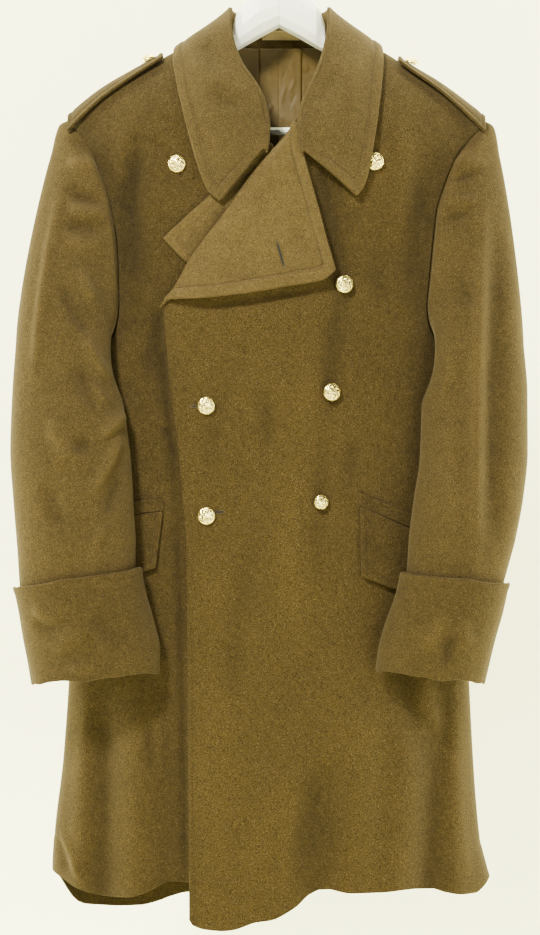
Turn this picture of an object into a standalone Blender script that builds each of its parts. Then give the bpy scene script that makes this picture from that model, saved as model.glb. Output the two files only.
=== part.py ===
# Military greatcoat hanging on its hanger.
# Tables are in millimetres. "down" is measured from the inside top of the hook, which is the origin.
# +Z is up, the front faces -Y and the wearer's left side is at +X.
import math

import bpy
import numpy as np
from mathutils import Vector
from mathutils.bvhtree import BVHTree

CLOTH = 2.0  # wall of the heavy woollen cloth
DOUBLE = 3.4  # two layers sewn together
LINING = 1.0
SEAM = 0.9  # half of the gap left between two pieces at a seam
BACK_SEAM = 0.4
SEAT = 0.3  # what is left between a button and its cloth
INSIDE_CUFF = (6.4, 5.6, 4.4, 3.1)  # how far the sleeve stands inside its cuff, from its top to its foot
SHOULDER_DROP = 105.0  # height over which the shoulder rounds from its seam to full depth
FLATNESS = 0.4  # 0.5 is an ellipse, less is flatter in front and tighter at the sides
UNDERARM = 535.0
NECK_HALF = 66.0
NECK_BACK = 161.0
COLLAR_BELLY = 1.0  # how far the collar's fall bows outwards over the shoulder
COLLAR_LIFT = -0.5  # how far that bow rises
LINING_TOP = 152.8
LINING_FOOT = 470.0
LINING_OFF = 5.2  # how far the lining hangs inside the back
LOOP_WALL = 1.2
LOOP_X = (-20.0, 25.0)
LOOP_DOWN = (131.8, 141.5)
LOOP_BACK = 31.05  # the loop's ends lie against the collar's stand, and its middle bows forwards
LOOP_BOW = 1.5
BUTTON_RADIUS = 11.2
BUTTON_HEIGHT = 6.0
STRAP_BUTTON_RADIUS = 8.2
HOOK_RADIUS = 22.0
HOOK_ROD = 2.3
BAR_RADIUS = 4.7
BAR_DOWN = 255.5
BAR_HALF = 203.6

BODY_COLUMNS = ("down", "left", "right", "front", "back")
BODY = (
    (76, -266, 262, 52, 46),
    (180, -266, 262, 54, 46),
    (243, -264, 258, 56, 44),
    (300, -246, 238, 59, 42),
    (400, -228, 214, 64, 38),
    (535, -222, 207, 67, 35),
    (620, -228, 209, 66, 34),
    (700, -236, 214, 65, 35),
    (820, -247, 223, 66, 37),
    (918, -253, 229, 69, 40),
    (1014, -260, 234, 73, 43),
    (1110, -271, 242, 77, 46),
    (1148, -273, 251, 78, 47),
    (1160, -268, 254, 79, 47),
    (1220, -238, 250, 80, 48),
)
RIDGE_COLUMNS = ("x", "down")
RIDGE = (
    (-266, 254),
    (-256, 243),
    (-232, 222),
    (-210, 206),
    (-163, 180),
    (-140, 168),
    (-121, 158),
    (-66, 139),
    (-30, 122),
    (0, 112),
    (30, 122),
    (66, 139),
    (121, 158),
    (140, 169),
    (158, 181),
    (193, 201),
    (229, 227),
    (250, 244),
    (262, 256),
)
ARMHOLE_COLUMNS = ("down", "front", "back")
ARMHOLE_RIGHT = (
    (243, -256, -256),
    (259, -240, -246),
    (282, -225, -236),
    (304, -215, -229),
    (328, -206, -222),
    (352, -200, -217),
    (390, -194, -212),
    (440, -191, -209),
    (470, -190.5, -208.5),
    (490, -193, -209.5),
    (505, -198, -212),
    (518, -205, -215),
    (528, -213, -218.5),
    (533, -219, -221),
    (535, -222, -222),
)
ARMHOLE_LEFT = (
    (244, 250, 250),
    (257, 237, 240),
    (276, 221, 230),
    (294, 209, 221),
    (324, 197, 211),
    (354, 188, 204),
    (390, 184, 199),
    (440, 179, 195),
    (470, 176, 193),
    (490, 178.5, 194.5),
    (505, 184, 197),
    (518, 191, 200.5),
    (528, 199, 204),
    (533, 204.5, 206.3),
    (535, 207, 207),
)
# How far the overlapping left front stands in front of the right one.
LEAD = ((139, 0), (170, 1), (210, 4), (255, 8), (300, 9.5), (460, 9.5), (540, 7.5), (640, 6.5), (1220, 6.5))
# Inner edge of each front: neck, roll line, then the front edge. Columns: down, x.
EDGE_LEFT = (
    (139, 66),
    (170, 60),
    (205, 46),
    (240, 25),
    (262, 11),
    (288, -11),
    (318, -36),
    (366, -70),
    (390, -89),
    (416, -107),
    (444, -122),
    (462, -134),
    (474, -138),
    (492, -136),
    (546, -131),
    (618, -122),
    (702, -114),
    (750, -110),
    (822, -109),
    (1216, -106),
)
EDGE_RIGHT = (
    (139, -66),
    (170, -61),
    (205, -47),
    (240, -28),
    (278, -10),
    (320, 2),
    (380, 22),
    (430, 56),
    (475, 96),
    (500, 104),
    (1165, 104),
)
# Hem of each front and of the backs. Columns: x, down.
HEM_LEFT = (
    (-106, 1202),
    (-102, 1208),
    (-88, 1212.5),
    (-68, 1214),
    (-54, 1212.5),
    (-28, 1203.5),
    (-8, 1200.5),
    (8, 1193),
    (22, 1184),
    (35, 1172),
    (55, 1164.5),
    (85, 1169.5),
    (121, 1169),
    (160, 1166),
    (180, 1166),
    (200, 1171),
    (220, 1174),
    (236, 1173.5),
    (247, 1166),
    (253.7, 1157),
)
HEM_RIGHT = (
    (-271.5, 1148),
    (-251, 1157),
    (-237, 1165),
    (-217, 1172),
    (-191, 1176),
    (-167, 1176),
    (-148, 1171),
    (-132, 1163.5),
    (-116, 1156.5),
    (-60, 1160),
    (104, 1163),
)
HEM_BACK_RIGHT = (
    (-271, 1150),
    (-262, 1165),
    (-250, 1184),
    (-240, 1192),
    (-222, 1195),
    (-196, 1197),
    (-170, 1196),
    (-148, 1191),
    (-131, 1185),
    (-110, 1181),
    (0, 1181),
)
HEM_BACK_LEFT = (
    (0, 1181),
    (110, 1177),
    (215, 1176),
    (236, 1172),
    (252.5, 1156),
)
# Soft folds of the hanging cloth, a row per fold; a negative rise is a trough.
FOLD_COLUMNS = ("x_top", "down_top", "x_foot", "down_foot", "width", "rise")
FOLDS_FRONT = (
    (196, 860, 176, 1200, 20, -6),
    (168, 880, 140, 1200, 22, 6),
    (216, 900, 214, 1200, 18, 6),
    (60, 1000, 40, 1230, 24, -9),
    (10, 960, -20, 1240, 34, 6),
    (96, 880, 92, 1200, 28, 4),
    (-60, 700, -70, 1200, 34, 4),
    (-205, 900, -212, 1190, 18, -6),
    (-235, 880, -240, 1190, 16, 5),
    (-170, 900, -172, 1190, 24, 7),
    (-138, 900, -132, 1190, 16, -4),
    (60, 480, 20, 760, 34, 4),
    (120, 330, 90, 560, 30, -4),
    (-165, 330, -150, 560, 26, -4),
)
FOLDS_BACK = (
    (-60, 300, -90, 1190, 34, 6),
    (-130, 420, -150, 1190, 28, -6),
    (-190, 620, -205, 1190, 26, 6),
    (55, 330, 80, 1190, 34, 6),
    (120, 420, 138, 1190, 28, -6),
    (180, 640, 196, 1190, 26, 6),
    (-12, 260, -10, 900, 26, 3),
)
FOLDS_LINING = (
    (-23, 150, -22, 480, 5.5, 4.0),
    (-12, 150, -10, 480, 6, -2.0),
    (27, 150, 24, 480, 5.5, 4.0),
    (15, 150, 13, 480, 6, -2.0),
    (-80, 200, -70, 480, 20, 3),
    (75, 200, 70, 480, 20, 3),
)

# Sleeve rings. Columns: down at the outer side, down at the inner side, x outer, x inner,
# middle of the depth, half depth, clearance kept from the body.
RING_COLUMNS = ("outer", "inner", "x_outer", "x_inner", "middle", "half", "clear")
SLEEVE_RIGHT = (
    (512, 592, -315, -187, -44, 45, 9),
    (575, 618, -319, -183, -52, 46, 10),
    (640, 656, -321, -178, -58, 46, 12),
    (700, 704, -317, -175, -65, 45, 14),
    (758, 750, -312, -172, -69, 45, 15),
)
SLEEVE_LEFT = (
    (516, 590, 293, 172, -44, 45, 9),
    (575, 618, 297, 171, -52, 46, 10),
    (640, 656, 297, 169, -58, 46, 12),
    (700, 700, 291, 162, -65, 45, 14),
    (752, 746, 281, 156, -69, 45, 15),
)
CUFF_RIGHT = (
    (808, 784, -315, -166, -72, 50, 10.5),
    (836, 814, -309, -160, -73, 50, 10.5),
    (866, 846, -304, -151, -73, 50, 10.5),
    (896, 878, -298, -144, -73, 50, 10.5),
    (919, 904, -294, -144, -73, 49, 10.5),
)
CUFF_LEFT = (
    (803, 790, 273, 147, -72, 50, 10.5),
    (834, 820, 266, 139, -73, 50, 10.5),
    (866, 850, 257, 128, -73, 50, 10.5),
    (898, 880, 249, 120, -73, 50, 10.5),
    (918, 902, 244, 117, -73, 49, 10.5),
)

# Collar ribs from one point round the back of the neck to the other. "edge_turn" places the outer
# edge on the shoulder: -1 is the full front, 0 the shoulder seam and 1 the full back.
RIB_COLUMNS = ("roll_x", "roll_y", "roll_down", "edge_x", "edge_down", "edge_turn", "stand", "off", "lean")
RIBS = (
    (-18, -72, 281, -70, 343, -9, 4, 11, 3),
    (-16, -70, 266, -84, 329, -9, 6, 11, 3),
    (-17, -65, 240, -97, 294, -9, 10, 10.5, 4),
    (-26, -58, 208, -109, 250, -9, 15, 9, 5),
    (-48.5, -46, 172, -119, 206, -9, 20, 7, 5),
    (-59, -29, 132, -124, 174, -9, 25, 6, -0.5),
    (-58, -8, 109, -122, 0, 0.02, 27, 5, -3),
    (-59, 10, 107, -112, 0, 0.36, 30, 5, -1),
    (-53, 27, 111, -92, 0, 0.66, 34, 6.5, 6),
    (-31, 37, 115, -54, 0, 0.93, 37, 8, 6),
    (0, 40, 117, 0, 0, 1.04, 35.5, 8.5, 6),
    (31, 37, 115, 54, 0, 0.93, 37, 8, 6),
    (54, 27, 111, 92, 0, 0.66, 34, 6.5, 6),
    (60.5, 10, 107, 112, 0, 0.36, 30, 5, -1),
    (60, -8, 109, 121, 0, 0.02, 27, 6, -3),
    (60, -32, 134, 122, 176, -9, 25, 6, 1),
    (52, -52, 174, 119, 210, -9, 20, 7, 8),
    (38, -63, 208, 114, 250, -9, 15, 8, 7),
    (29, -70, 232, 107, 292, -9, 10, 9.5, 4),
    (27.5, -76, 253, 101, 320, -9, 6, 7, 3),
    (31, -81, 284, 91, 337, -9, 4, 7, 3),
)

# Turned-back corners of the fronts. Each edge is a row of (x, down) points.
LAPEL_LEFT_ROLL = ((18, 253), (9, 269), (-9, 288), (-34, 318), (-68, 366), (-87, 390), (-105, 416), (-120, 444), (-137, 470))
LAPEL_LEFT_OUTER = ((20.5, 254), (24, 266), (26, 284), (29.5, 298), (43, 348), (59.5, 413), (63, 427))
LAPEL_LEFT_FOOT = ((-137, 470), (-125, 461), (-95, 460), (-47, 455), (13, 445), (51, 437.5), (63, 427))
LAPEL_RIGHT_ROLL = ((-9, 276), (2, 320), (16, 370), (34, 410), (50, 430))
LAPEL_RIGHT_OUTER = ((-24, 284), (-52, 310), (-79, 336), (-107, 361), (-136, 388))
LAPEL_RIGHT_FOOT = ((50, 430), (0, 440), (-60, 437), (-108, 417), (-136, 388))

# Pockets: upper edge, lower edge. Each a row of (x, down) points from the centre outwards.
FLAP_LEFT = (((97, 711), (156, 738), (206, 760)), ((98, 792), (140, 808), (200, 822)))
WELT_LEFT = (((95, 694), (148, 716), (204, 740)), ((96, 708), (150, 732), (205, 755)))
FLAP_RIGHT = (((-140, 717), (-172, 722), (-214, 738)), ((-148, 782), (-176, 792), (-216, 806)))
WELT_RIGHT = (((-138, 702), (-172, 704), (-212, 716)), ((-139, 714), (-172, 718), (-213, 732)))

# Front buttons: x, down, and which cloth each one is sewn to.
BUTTONS = (
    (-122, 299, "right"),
    (113.5, 297, "left"),
    (76, 444, "left"),
    (-86, 589, "left"),
    (61, 573, "left"),
    (-86, 721, "left"),
    (49, 704, "left"),
)
SMALL_BUTTON = 7  # this one is of a smaller size
SMALL_BUTTON_RADIUS = 9.4

HANGER_COLUMNS = ("x", "top", "foot", "half")
HANGER = (
    (57, 150, 163, 10),
    (55.5, 126, 160, 10),
    (51, 112, 158, 12.5),
    (45, 101, 155, 17),
    (24, 82, 143, 18),
    (0, 76, 130, 18),
)
# Arm of the hanger. Columns: x, distance under the shoulder seam, height, half depth.
HANGER_ARM = (
    (226, 6, 18, 5),
    (222, 3.2, 45, 8),
    (209, 2.8, 57, 9),
    (204, 2.8, 39, 11),
    (180, 2.8, 41, 14),
    (140, 2.6, 39, 15),
    (95, 2.4, 35, 15),
    (64, 6, 24, 16),
)

WOOL = ((0.190, 0.128, 0.042), 0.92, 0.0)
WOOL_PALE = ((0.235, 0.165, 0.060), 0.92, 0.0)
SATEEN = ((0.215, 0.160, 0.062), 0.60, 0.0)
BRASS = ((0.72, 0.63, 0.40), 0.34, 1.0)
WHITE = ((0.86, 0.86, 0.80), 0.38, 0.0)
STEEL = ((0.62, 0.62, 0.60), 0.30, 1.0)


def cubic(xs, ys):
    """A smooth curve through the points, with no overshoot between them."""
    xs = np.asarray(xs, float)
    ys = np.asarray(ys, float)
    step = np.diff(xs)
    slope = np.diff(ys) / step
    lean = np.zeros(len(xs))
    lean[0] = slope[0]
    lean[-1] = slope[-1]
    both = slope[:-1] * slope[1:]
    total = slope[:-1] + slope[1:]
    safe = np.where(both > 0, total, 1.0)
    lean[1:-1] = np.where(both > 0, 2 * both / safe, 0.0)

    def at(x):
        x = np.clip(x, xs[0], xs[-1])
        i = np.clip(np.searchsorted(xs, x) - 1, 0, len(step) - 1)
        t = (x - xs[i]) / step[i]
        h1 = (1 + 2 * t) * (1 - t) ** 2
        h2 = t * (1 - t) ** 2
        h3 = t * t * (3 - 2 * t)
        h4 = t * t * (t - 1)
        return h1 * ys[i] + h2 * step[i] * lean[i] + h3 * ys[i + 1] + h4 * step[i] * lean[i + 1]

    return at


def column(columns, table, name, key=0):
    table = np.asarray(table, float)
    return cubic(table[:, key], table[:, columns.index(name)])


body_left = column(BODY_COLUMNS, BODY, "left")
body_right = column(BODY_COLUMNS, BODY, "right")
body_front = column(BODY_COLUMNS, BODY, "front")
body_back = column(BODY_COLUMNS, BODY, "back")
ridge = column(RIDGE_COLUMNS, RIDGE, "down")
lead = cubic([row[0] for row in LEAD], [row[1] for row in LEAD])


def ramp(value, start, end):
    t = np.clip((value - start) / (end - start), 0, 1)
    return t * t * (3 - 2 * t)


def depth(x, down, side, grow=0.0):
    """Distance in front of (side -1) or behind (side 1) the hanging plane."""
    middle = (body_left(down) + body_right(down)) / 2
    half = (body_right(down) - body_left(down)) / 2 + grow
    across = np.clip(1 - ((x - middle) / half) ** 2, 0, 1) ** FLATNESS
    fall = np.clip((down - ridge(x) + grow) / SHOULDER_DROP, 0, 1)
    rise = np.sqrt(np.clip(1 - (1 - fall) ** 2, 0, 1))
    full = body_front(down) if side < 0 else body_back(down)
    return side * (full + grow) * across * rise


def folds(x, down, table):
    total = np.zeros(np.shape(x))
    for x_top, down_top, x_foot, down_foot, width, rise in table:
        along = (down - down_top) / (down_foot - down_top)
        middle = x_top + (x_foot - x_top) * along
        ends = ramp(along, 0, 0.35) * ramp(-along, -1.25, -0.95)
        total = total + rise * ends * np.exp(-(((x - middle) / width) ** 2))
    return total


def cover(x, down):
    """How far the left front stands off, fading out towards its own side seam."""
    return lead(down) * ramp(-x, -190, -70)


def surface(x, down, side, off):
    """Points that lie at a distance off the body's surface, measured along its normal."""
    x = np.asarray(x, float)
    down = np.asarray(down, float)
    table = FOLDS_FRONT if side < 0 else FOLDS_BACK

    def level(a, b):
        return depth(a, b, side) + side * (SEAM + folds(a, b, table))

    y = level(x, down)
    by_x = (level(x + 1, down) - level(x - 1, down)) / 2
    by_down = (level(x, down + 1) - level(x, down - 1)) / 2
    by_x = np.clip(by_x, -3, 3)
    by_down = np.clip(by_down, -3, 3)
    size = np.sqrt(1 + by_x**2 + by_down**2)
    shift = side * np.asarray(off, float) / size
    return np.stack([x - shift * by_x, y + shift, down - shift * by_down], axis=-1)


def points_edge(points, axis):
    """A curve along the points, from 0 to 1, measured by their share of one axis."""
    points = np.asarray(points, float)
    share = (points[:, axis] - points[0, axis]) / (points[-1, axis] - points[0, axis])
    other = cubic(share, points[:, 1 - axis])
    start = points[0, axis]
    end = points[-1, axis]

    def at(t):
        t = np.asarray(t, float)
        pair = [None, None]
        pair[axis] = start + (end - start) * t
        pair[1 - axis] = other(t)
        return np.stack(pair, axis=-1)

    return at


def length_edge(points):
    """A smooth curve through the points, from 0 to 1, measured by length."""
    points = np.asarray(points, float)
    steps = np.linalg.norm(np.diff(points, axis=0), axis=1)
    share = np.concatenate([[0], np.cumsum(steps)]) / steps.sum()
    curves = [cubic(share, points[:, axis]) for axis in range(points.shape[1])]

    def at(t):
        return np.stack([curve(np.asarray(t, float)) for curve in curves], axis=-1)

    return at


def patch(top, foot, start, end, us, vs):
    """A grid that fills four edges: top and foot run along u, start and end run along v."""
    u = np.asarray(us, float)[None, :, None]
    v = np.asarray(vs, float)[:, None, None]
    rows = (1 - v) * top(us)[None] + v * foot(us)[None]
    cols = (1 - u) * start(vs)[:, None] + u * end(vs)[:, None]
    a, b = top(np.array([0.0, 1.0]))
    c, d = foot(np.array([0.0, 1.0]))
    corners = (1 - v) * ((1 - u) * a + u * b) + v * ((1 - u) * c + u * d)
    return rows + cols - corners


def to_turn(pair):
    """Swaps x for the angle round the body, so that points spread evenly at the sides."""
    x = pair[..., 0]
    down = pair[..., 1]
    middle = (body_left(down) + body_right(down)) / 2
    half = (body_right(down) - body_left(down)) / 2
    return np.stack([np.arccos(np.clip((middle - x) / half, -1, 1)), down], axis=-1)


def from_turn(pair):
    down = pair[..., 1]
    middle = (body_left(down) + body_right(down)) / 2
    half = (body_right(down) - body_left(down)) / 2
    return middle - half * np.cos(pair[..., 0]), down


def panel_grid(top_at, foot_at, inner_at, outer_at, soft_at, us, vs):
    """Fills a panel evenly, and lets only its last columns follow the hollow of the armhole."""
    grid = patch(top_at, foot_at, inner_at, soft_at, us, vs)
    reach = outer_at(vs) - soft_at(vs)
    return grid + reach[:, None] * ramp(us, 0.5, 1.0)[None, :, None]


def softened(across, side_edge, down):
    hollow = across(np.minimum(down, 480.0))
    share = ramp(down, 400, 640)
    return hollow * (1 - share) + side_edge(down) * share


def normals_of(grid, closed):
    if closed:
        across = np.roll(grid, -1, axis=1) - np.roll(grid, 1, axis=1)
    else:
        across = np.gradient(grid, axis=1)
    along = np.gradient(grid, axis=0)
    normal = np.cross(across, along)
    size = np.linalg.norm(normal, axis=2, keepdims=True)
    return normal / np.maximum(size, 1e-9)


def body_of(name, points, faces, material, smooth=True):
    points = np.asarray(points, float)
    turned = np.stack([points[:, 0], points[:, 1], -points[:, 2]], axis=1) / 1000
    corners = [turned[[face[0], face[i], face[i + 1]]] for face in faces for i in range(1, len(face) - 1)]
    if np.linalg.det(np.array(corners)).sum() < 0:
        faces = [tuple(reversed(face)) for face in faces]
    mesh = bpy.data.meshes.new(name)
    mesh.from_pydata([tuple(p) for p in turned], [], [tuple(int(i) for i in face) for face in faces])
    mesh.validate()
    mesh.update()
    for polygon in mesh.polygons:
        polygon.use_smooth = smooth
    obj = bpy.data.objects.new(name, mesh)
    bpy.context.scene.collection.objects.link(obj)
    mesh.materials.append(material_of(name, material))
    return obj


def material_of(name, look):
    colour, roughness, metallic = look
    material = bpy.data.materials.new(name + "_material")
    material.use_nodes = True
    shader = material.node_tree.nodes["Principled BSDF"]
    shader.inputs["Base Color"].default_value = (*colour, 1)
    shader.inputs["Roughness"].default_value = roughness
    shader.inputs["Metallic"].default_value = metallic
    return material


def sheet(name, grid, thickness, material, closed=False, fixed=None):
    """A closed wall of even thickness round a grid of points, which may run all round."""
    rows, cols = grid.shape[:2]
    normal = normals_of(grid, closed) if fixed is None else fixed
    outer = grid + normal * thickness / 2
    inner = grid - normal * thickness / 2
    points = np.concatenate([outer.reshape(-1, 3), inner.reshape(-1, 3)])
    total = rows * cols
    faces = []
    spans = cols if closed else cols - 1
    for r in range(rows - 1):
        for c in range(spans):
            a = r * cols + c
            b = r * cols + (c + 1) % cols
            faces.append((a, b, b + cols, a + cols))
            faces.append((a + total, a + cols + total, b + cols + total, b + total))
    for c in range(spans):
        a = c
        b = (c + 1) % cols
        faces.append((a, a + total, b + total, b))
        e = (rows - 1) * cols + c
        f = (rows - 1) * cols + (c + 1) % cols
        faces.append((e, f, f + total, e + total))
    if not closed:
        for r in range(rows - 1):
            a = r * cols
            faces.append((a, a + cols, a + cols + total, a + total))
            b = r * cols + cols - 1
            faces.append((b, b + total, b + cols + total, b + cols))
    return body_of(name, points, faces, material)


def outside(x, y, down, clear):
    """Moves points out of the body's section, widened by a clearance."""
    middle = (body_left(down) + body_right(down)) / 2
    half = (body_right(down) - body_left(down)) / 2 + clear
    full = np.where(y < 0, body_front(down), body_back(down)) + clear
    a = x - middle

    def inside(scale):
        across = np.clip(1 - (a * scale / half) ** 2, 0, 1) ** FLATNESS
        return np.abs(y * scale) < full * across

    low = np.ones(np.shape(x))
    high = np.full(np.shape(x), 3.0)
    for _ in range(26):
        mid = (low + high) / 2
        within = inside(mid)
        low = np.where(within, mid, low)
        high = np.where(within, high, mid)
    scale = np.where(inside(np.ones(np.shape(x))), high, 1.0)
    return middle + a * scale, y * scale


def armhole_point(table, turn):
    """The armhole loop: turn 0 is the shoulder point, then the front, the underarm and the back."""
    top = table[0][0]
    foot = table[-1][0]
    turn = np.asarray(turn, float)
    down = (top + foot) / 2 - (foot - top) / 2 * np.cos(turn)
    front = column(ARMHOLE_COLUMNS, table, "front")(down)
    back = column(ARMHOLE_COLUMNS, table, "back")(down)
    share = np.where(np.sin(turn) >= 0, 1.0, 0.0)
    x = front * share + back * (1 - share)
    y = np.where(share > 0, depth(x, down, -1), depth(x, down, 1))
    return np.stack([x, y, down], axis=-1)


def ring_rows(table, rows):
    """Rings at evenly spaced places down a sleeve table."""
    table = np.asarray(table, float)
    share = np.linspace(0, 1, len(table))
    wanted = np.asarray(rows, float)
    return {name: cubic(share, table[:, i])(wanted) for i, name in enumerate(RING_COLUMNS)}


def ring_points(ring, i, turn):
    x_middle = (ring["x_outer"][i] + ring["x_inner"][i]) / 2
    half = (ring["x_outer"][i] - ring["x_inner"][i]) / 2
    c = np.cos(turn)
    s = np.sin(turn)
    x = x_middle + half * np.sign(c) * np.abs(c) ** 0.92
    y = ring["middle"][i] - ring["half"][i] * np.sign(s) * np.abs(s) ** 0.92
    down = ring["inner"][i] + (ring["outer"][i] - ring["inner"][i]) * (c + 1) / 2
    x, y = outside(x, y, down, ring["clear"][i])
    for _ in range(5):
        x = (np.roll(x, 1) + 2 * x + np.roll(x, -1)) / 4
        y = (np.roll(y, 1) + 2 * y + np.roll(y, -1)) / 4
        x, y = outside(x, y, down, ring["clear"][i])
    x = (x - (x.max() + x.min()) / 2) * 2 * abs(half) / (x.max() - x.min()) + x_middle
    x, y = outside(x, y, down, ring["clear"][i])
    return np.stack([x, y, down], axis=-1)


def sleeve(name, armhole, rings, cuff_rings, steps, cap_rows, tube_rows):
    """A set-in sleeve: a cap from the armhole loop to the first ring, then the hanging tube."""
    turn = np.arange(steps) * 2 * math.pi / steps
    out = -1.0 if armhole[0][1] < 0 else 1.0
    start = armhole_point(armhole, turn)
    start[:, 0] = start[:, 0] + out * 2.4
    start[:, 2] = start[:, 2] - 1.2 * (1 - np.cos(turn))
    table = ring_rows(rings, np.linspace(0, 1, tube_rows))
    end = ring_points(table, 0, turn)
    c = np.cos(turn)
    s = np.sin(turn)
    leave = np.stack([out * (44 + 6 * c), -26 * s, 34 + 16 * c], axis=-1)
    reach = np.linalg.norm(end - start, axis=1)
    arrive = np.stack([out * 6 * c, 0 * c, 0.75 * reach], axis=-1)
    grid = []
    for t in np.linspace(0, 1, cap_rows + 1)[:-1]:
        t = t**1.25
        h1 = (1 + 2 * t) * (1 - t) ** 2
        h2 = t * (1 - t) ** 2
        h3 = t * t * (3 - 2 * t)
        h4 = t * t * (t - 1)
        row = h1 * start + h2 * leave + h3 * end + h4 * arrive
        clear = 3.8 + 5.2 * ramp(row[:, 2], UNDERARM, UNDERARM + 40)
        low = (row[:, 2] > UNDERARM - 16) & (t > 0)
        x, y = outside(row[:, 0], row[:, 1], row[:, 2], clear)
        row[:, 0] = np.where(low, x, row[:, 0])
        row[:, 1] = np.where(low, y, row[:, 1])
        grid.append(row)
    for i in range(tube_rows):
        grid.append(ring_points(table, i, turn))
    table = ring_rows(cuff_rings, (0, 1 / 3, 2 / 3, 0.985))
    for i in range(4):
        row = ring_points(table, i, turn)
        along = np.roll(row, -1, axis=0) - np.roll(row, 1, axis=0)
        away = np.stack([along[:, 1], -along[:, 0], 0 * along[:, 0]], axis=-1)
        away = away / np.linalg.norm(away, axis=1, keepdims=True)
        if ((row - row.mean(axis=0)) * away).sum() < 0:
            away = -away
        grid.append(row - away * INSIDE_CUFF[i])
    return sheet(name, np.array(grid), CLOTH, WOOL, closed=True)


def cuff(name, rings, steps, rows):
    turn = np.arange(steps) * 2 * math.pi / steps
    table = ring_rows(rings, np.linspace(0, 1, rows))
    grid = np.array([ring_points(table, i, turn) for i in range(rows)])
    return sheet(name, grid, DOUBLE, WOOL, closed=True)


def through(points, places):
    """A curve through the points, passing each at its whole number."""
    points = np.asarray(points, float)
    lean = np.gradient(points, axis=0)
    out = []
    for place in places:
        i = min(int(place), len(points) - 2)
        t = place - i
        h1 = (1 + 2 * t) * (1 - t) ** 2
        h2 = t * (1 - t) ** 2
        h3 = t * t * (3 - 2 * t)
        h4 = t * t * (t - 1)
        out.append(h1 * points[i] + h2 * lean[i] + h3 * points[i + 1] + h4 * lean[i + 1])
    return np.array(out)


def over_shoulder(x, turn, off):
    """A point on the shoulder's rounding: turn -1 is the full front and 1 the full back."""
    side = -1.0 if turn < 0 else 1.0
    angle = min(abs(turn), 1.0) * math.pi / 2
    down = ridge(x) + SHOULDER_DROP * (1 - math.cos(angle)) + max(abs(turn) - 1, 0) * SHOULDER_DROP * 1.57
    y = depth(x, down, side)
    out = np.array([0.0, side * math.sin(angle), -math.cos(angle)])
    return np.array([x, y, down], float) + out * off


def collar():
    grid = []
    for row in RIBS:
        rib = dict(zip(RIB_COLUMNS, row))
        roll = np.array([rib["roll_x"], rib["roll_y"], rib["roll_down"]], float)
        if rib["edge_turn"] < -5:
            extra = rib["off"]
            if rib["edge_x"] > 0:
                extra = extra + cover(rib["edge_x"], rib["edge_down"])
            edge = surface(rib["edge_x"], rib["edge_down"], -1, extra)
            mid_x = 0.45 * rib["roll_x"] + 0.55 * rib["edge_x"]
            mid_down = 0.45 * rib["roll_down"] + 0.55 * rib["edge_down"]
            lift = extra + 4
            if rib["edge_x"] > 0:
                lift = lift + cover(mid_x, mid_down) - cover(rib["edge_x"], rib["edge_down"])
            middle = surface(mid_x, mid_down, -1, lift)
        else:
            edge = over_shoulder(rib["edge_x"], rib["edge_turn"], rib["off"])
            middle = 0.42 * roll + 0.58 * edge
            out = edge - np.array([0, 0, edge[2]])
            size = max(np.linalg.norm(out), 1.0)
            middle = middle + out / size * COLLAR_BELLY - np.array([0, 0, COLLAR_LIFT])
        away = middle - roll
        away[2] = 0
        away = away / max(np.linalg.norm(away), 1.0)
        inward = -away
        stand = rib["stand"]
        foot = roll + inward * rib["lean"] + np.array([0, 0, stand])
        rise = roll + inward * min(rib["lean"], 4.0) + np.array([0, 0, min(stand * 0.4, 9)])
        over = roll + away * 5 + np.array([0, 0, 4.5])
        grid.append(through([foot, rise, roll, over, middle, edge], (0, 0.6, 1, 1.5, 2, 2.5, 3, 3.5, 4, 4.5, 5)))
    grid = np.array(grid)
    rows = through(grid, np.linspace(0, len(RIBS) - 1, 33))
    return sheet("collar", rows, DOUBLE, WOOL_PALE)


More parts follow.
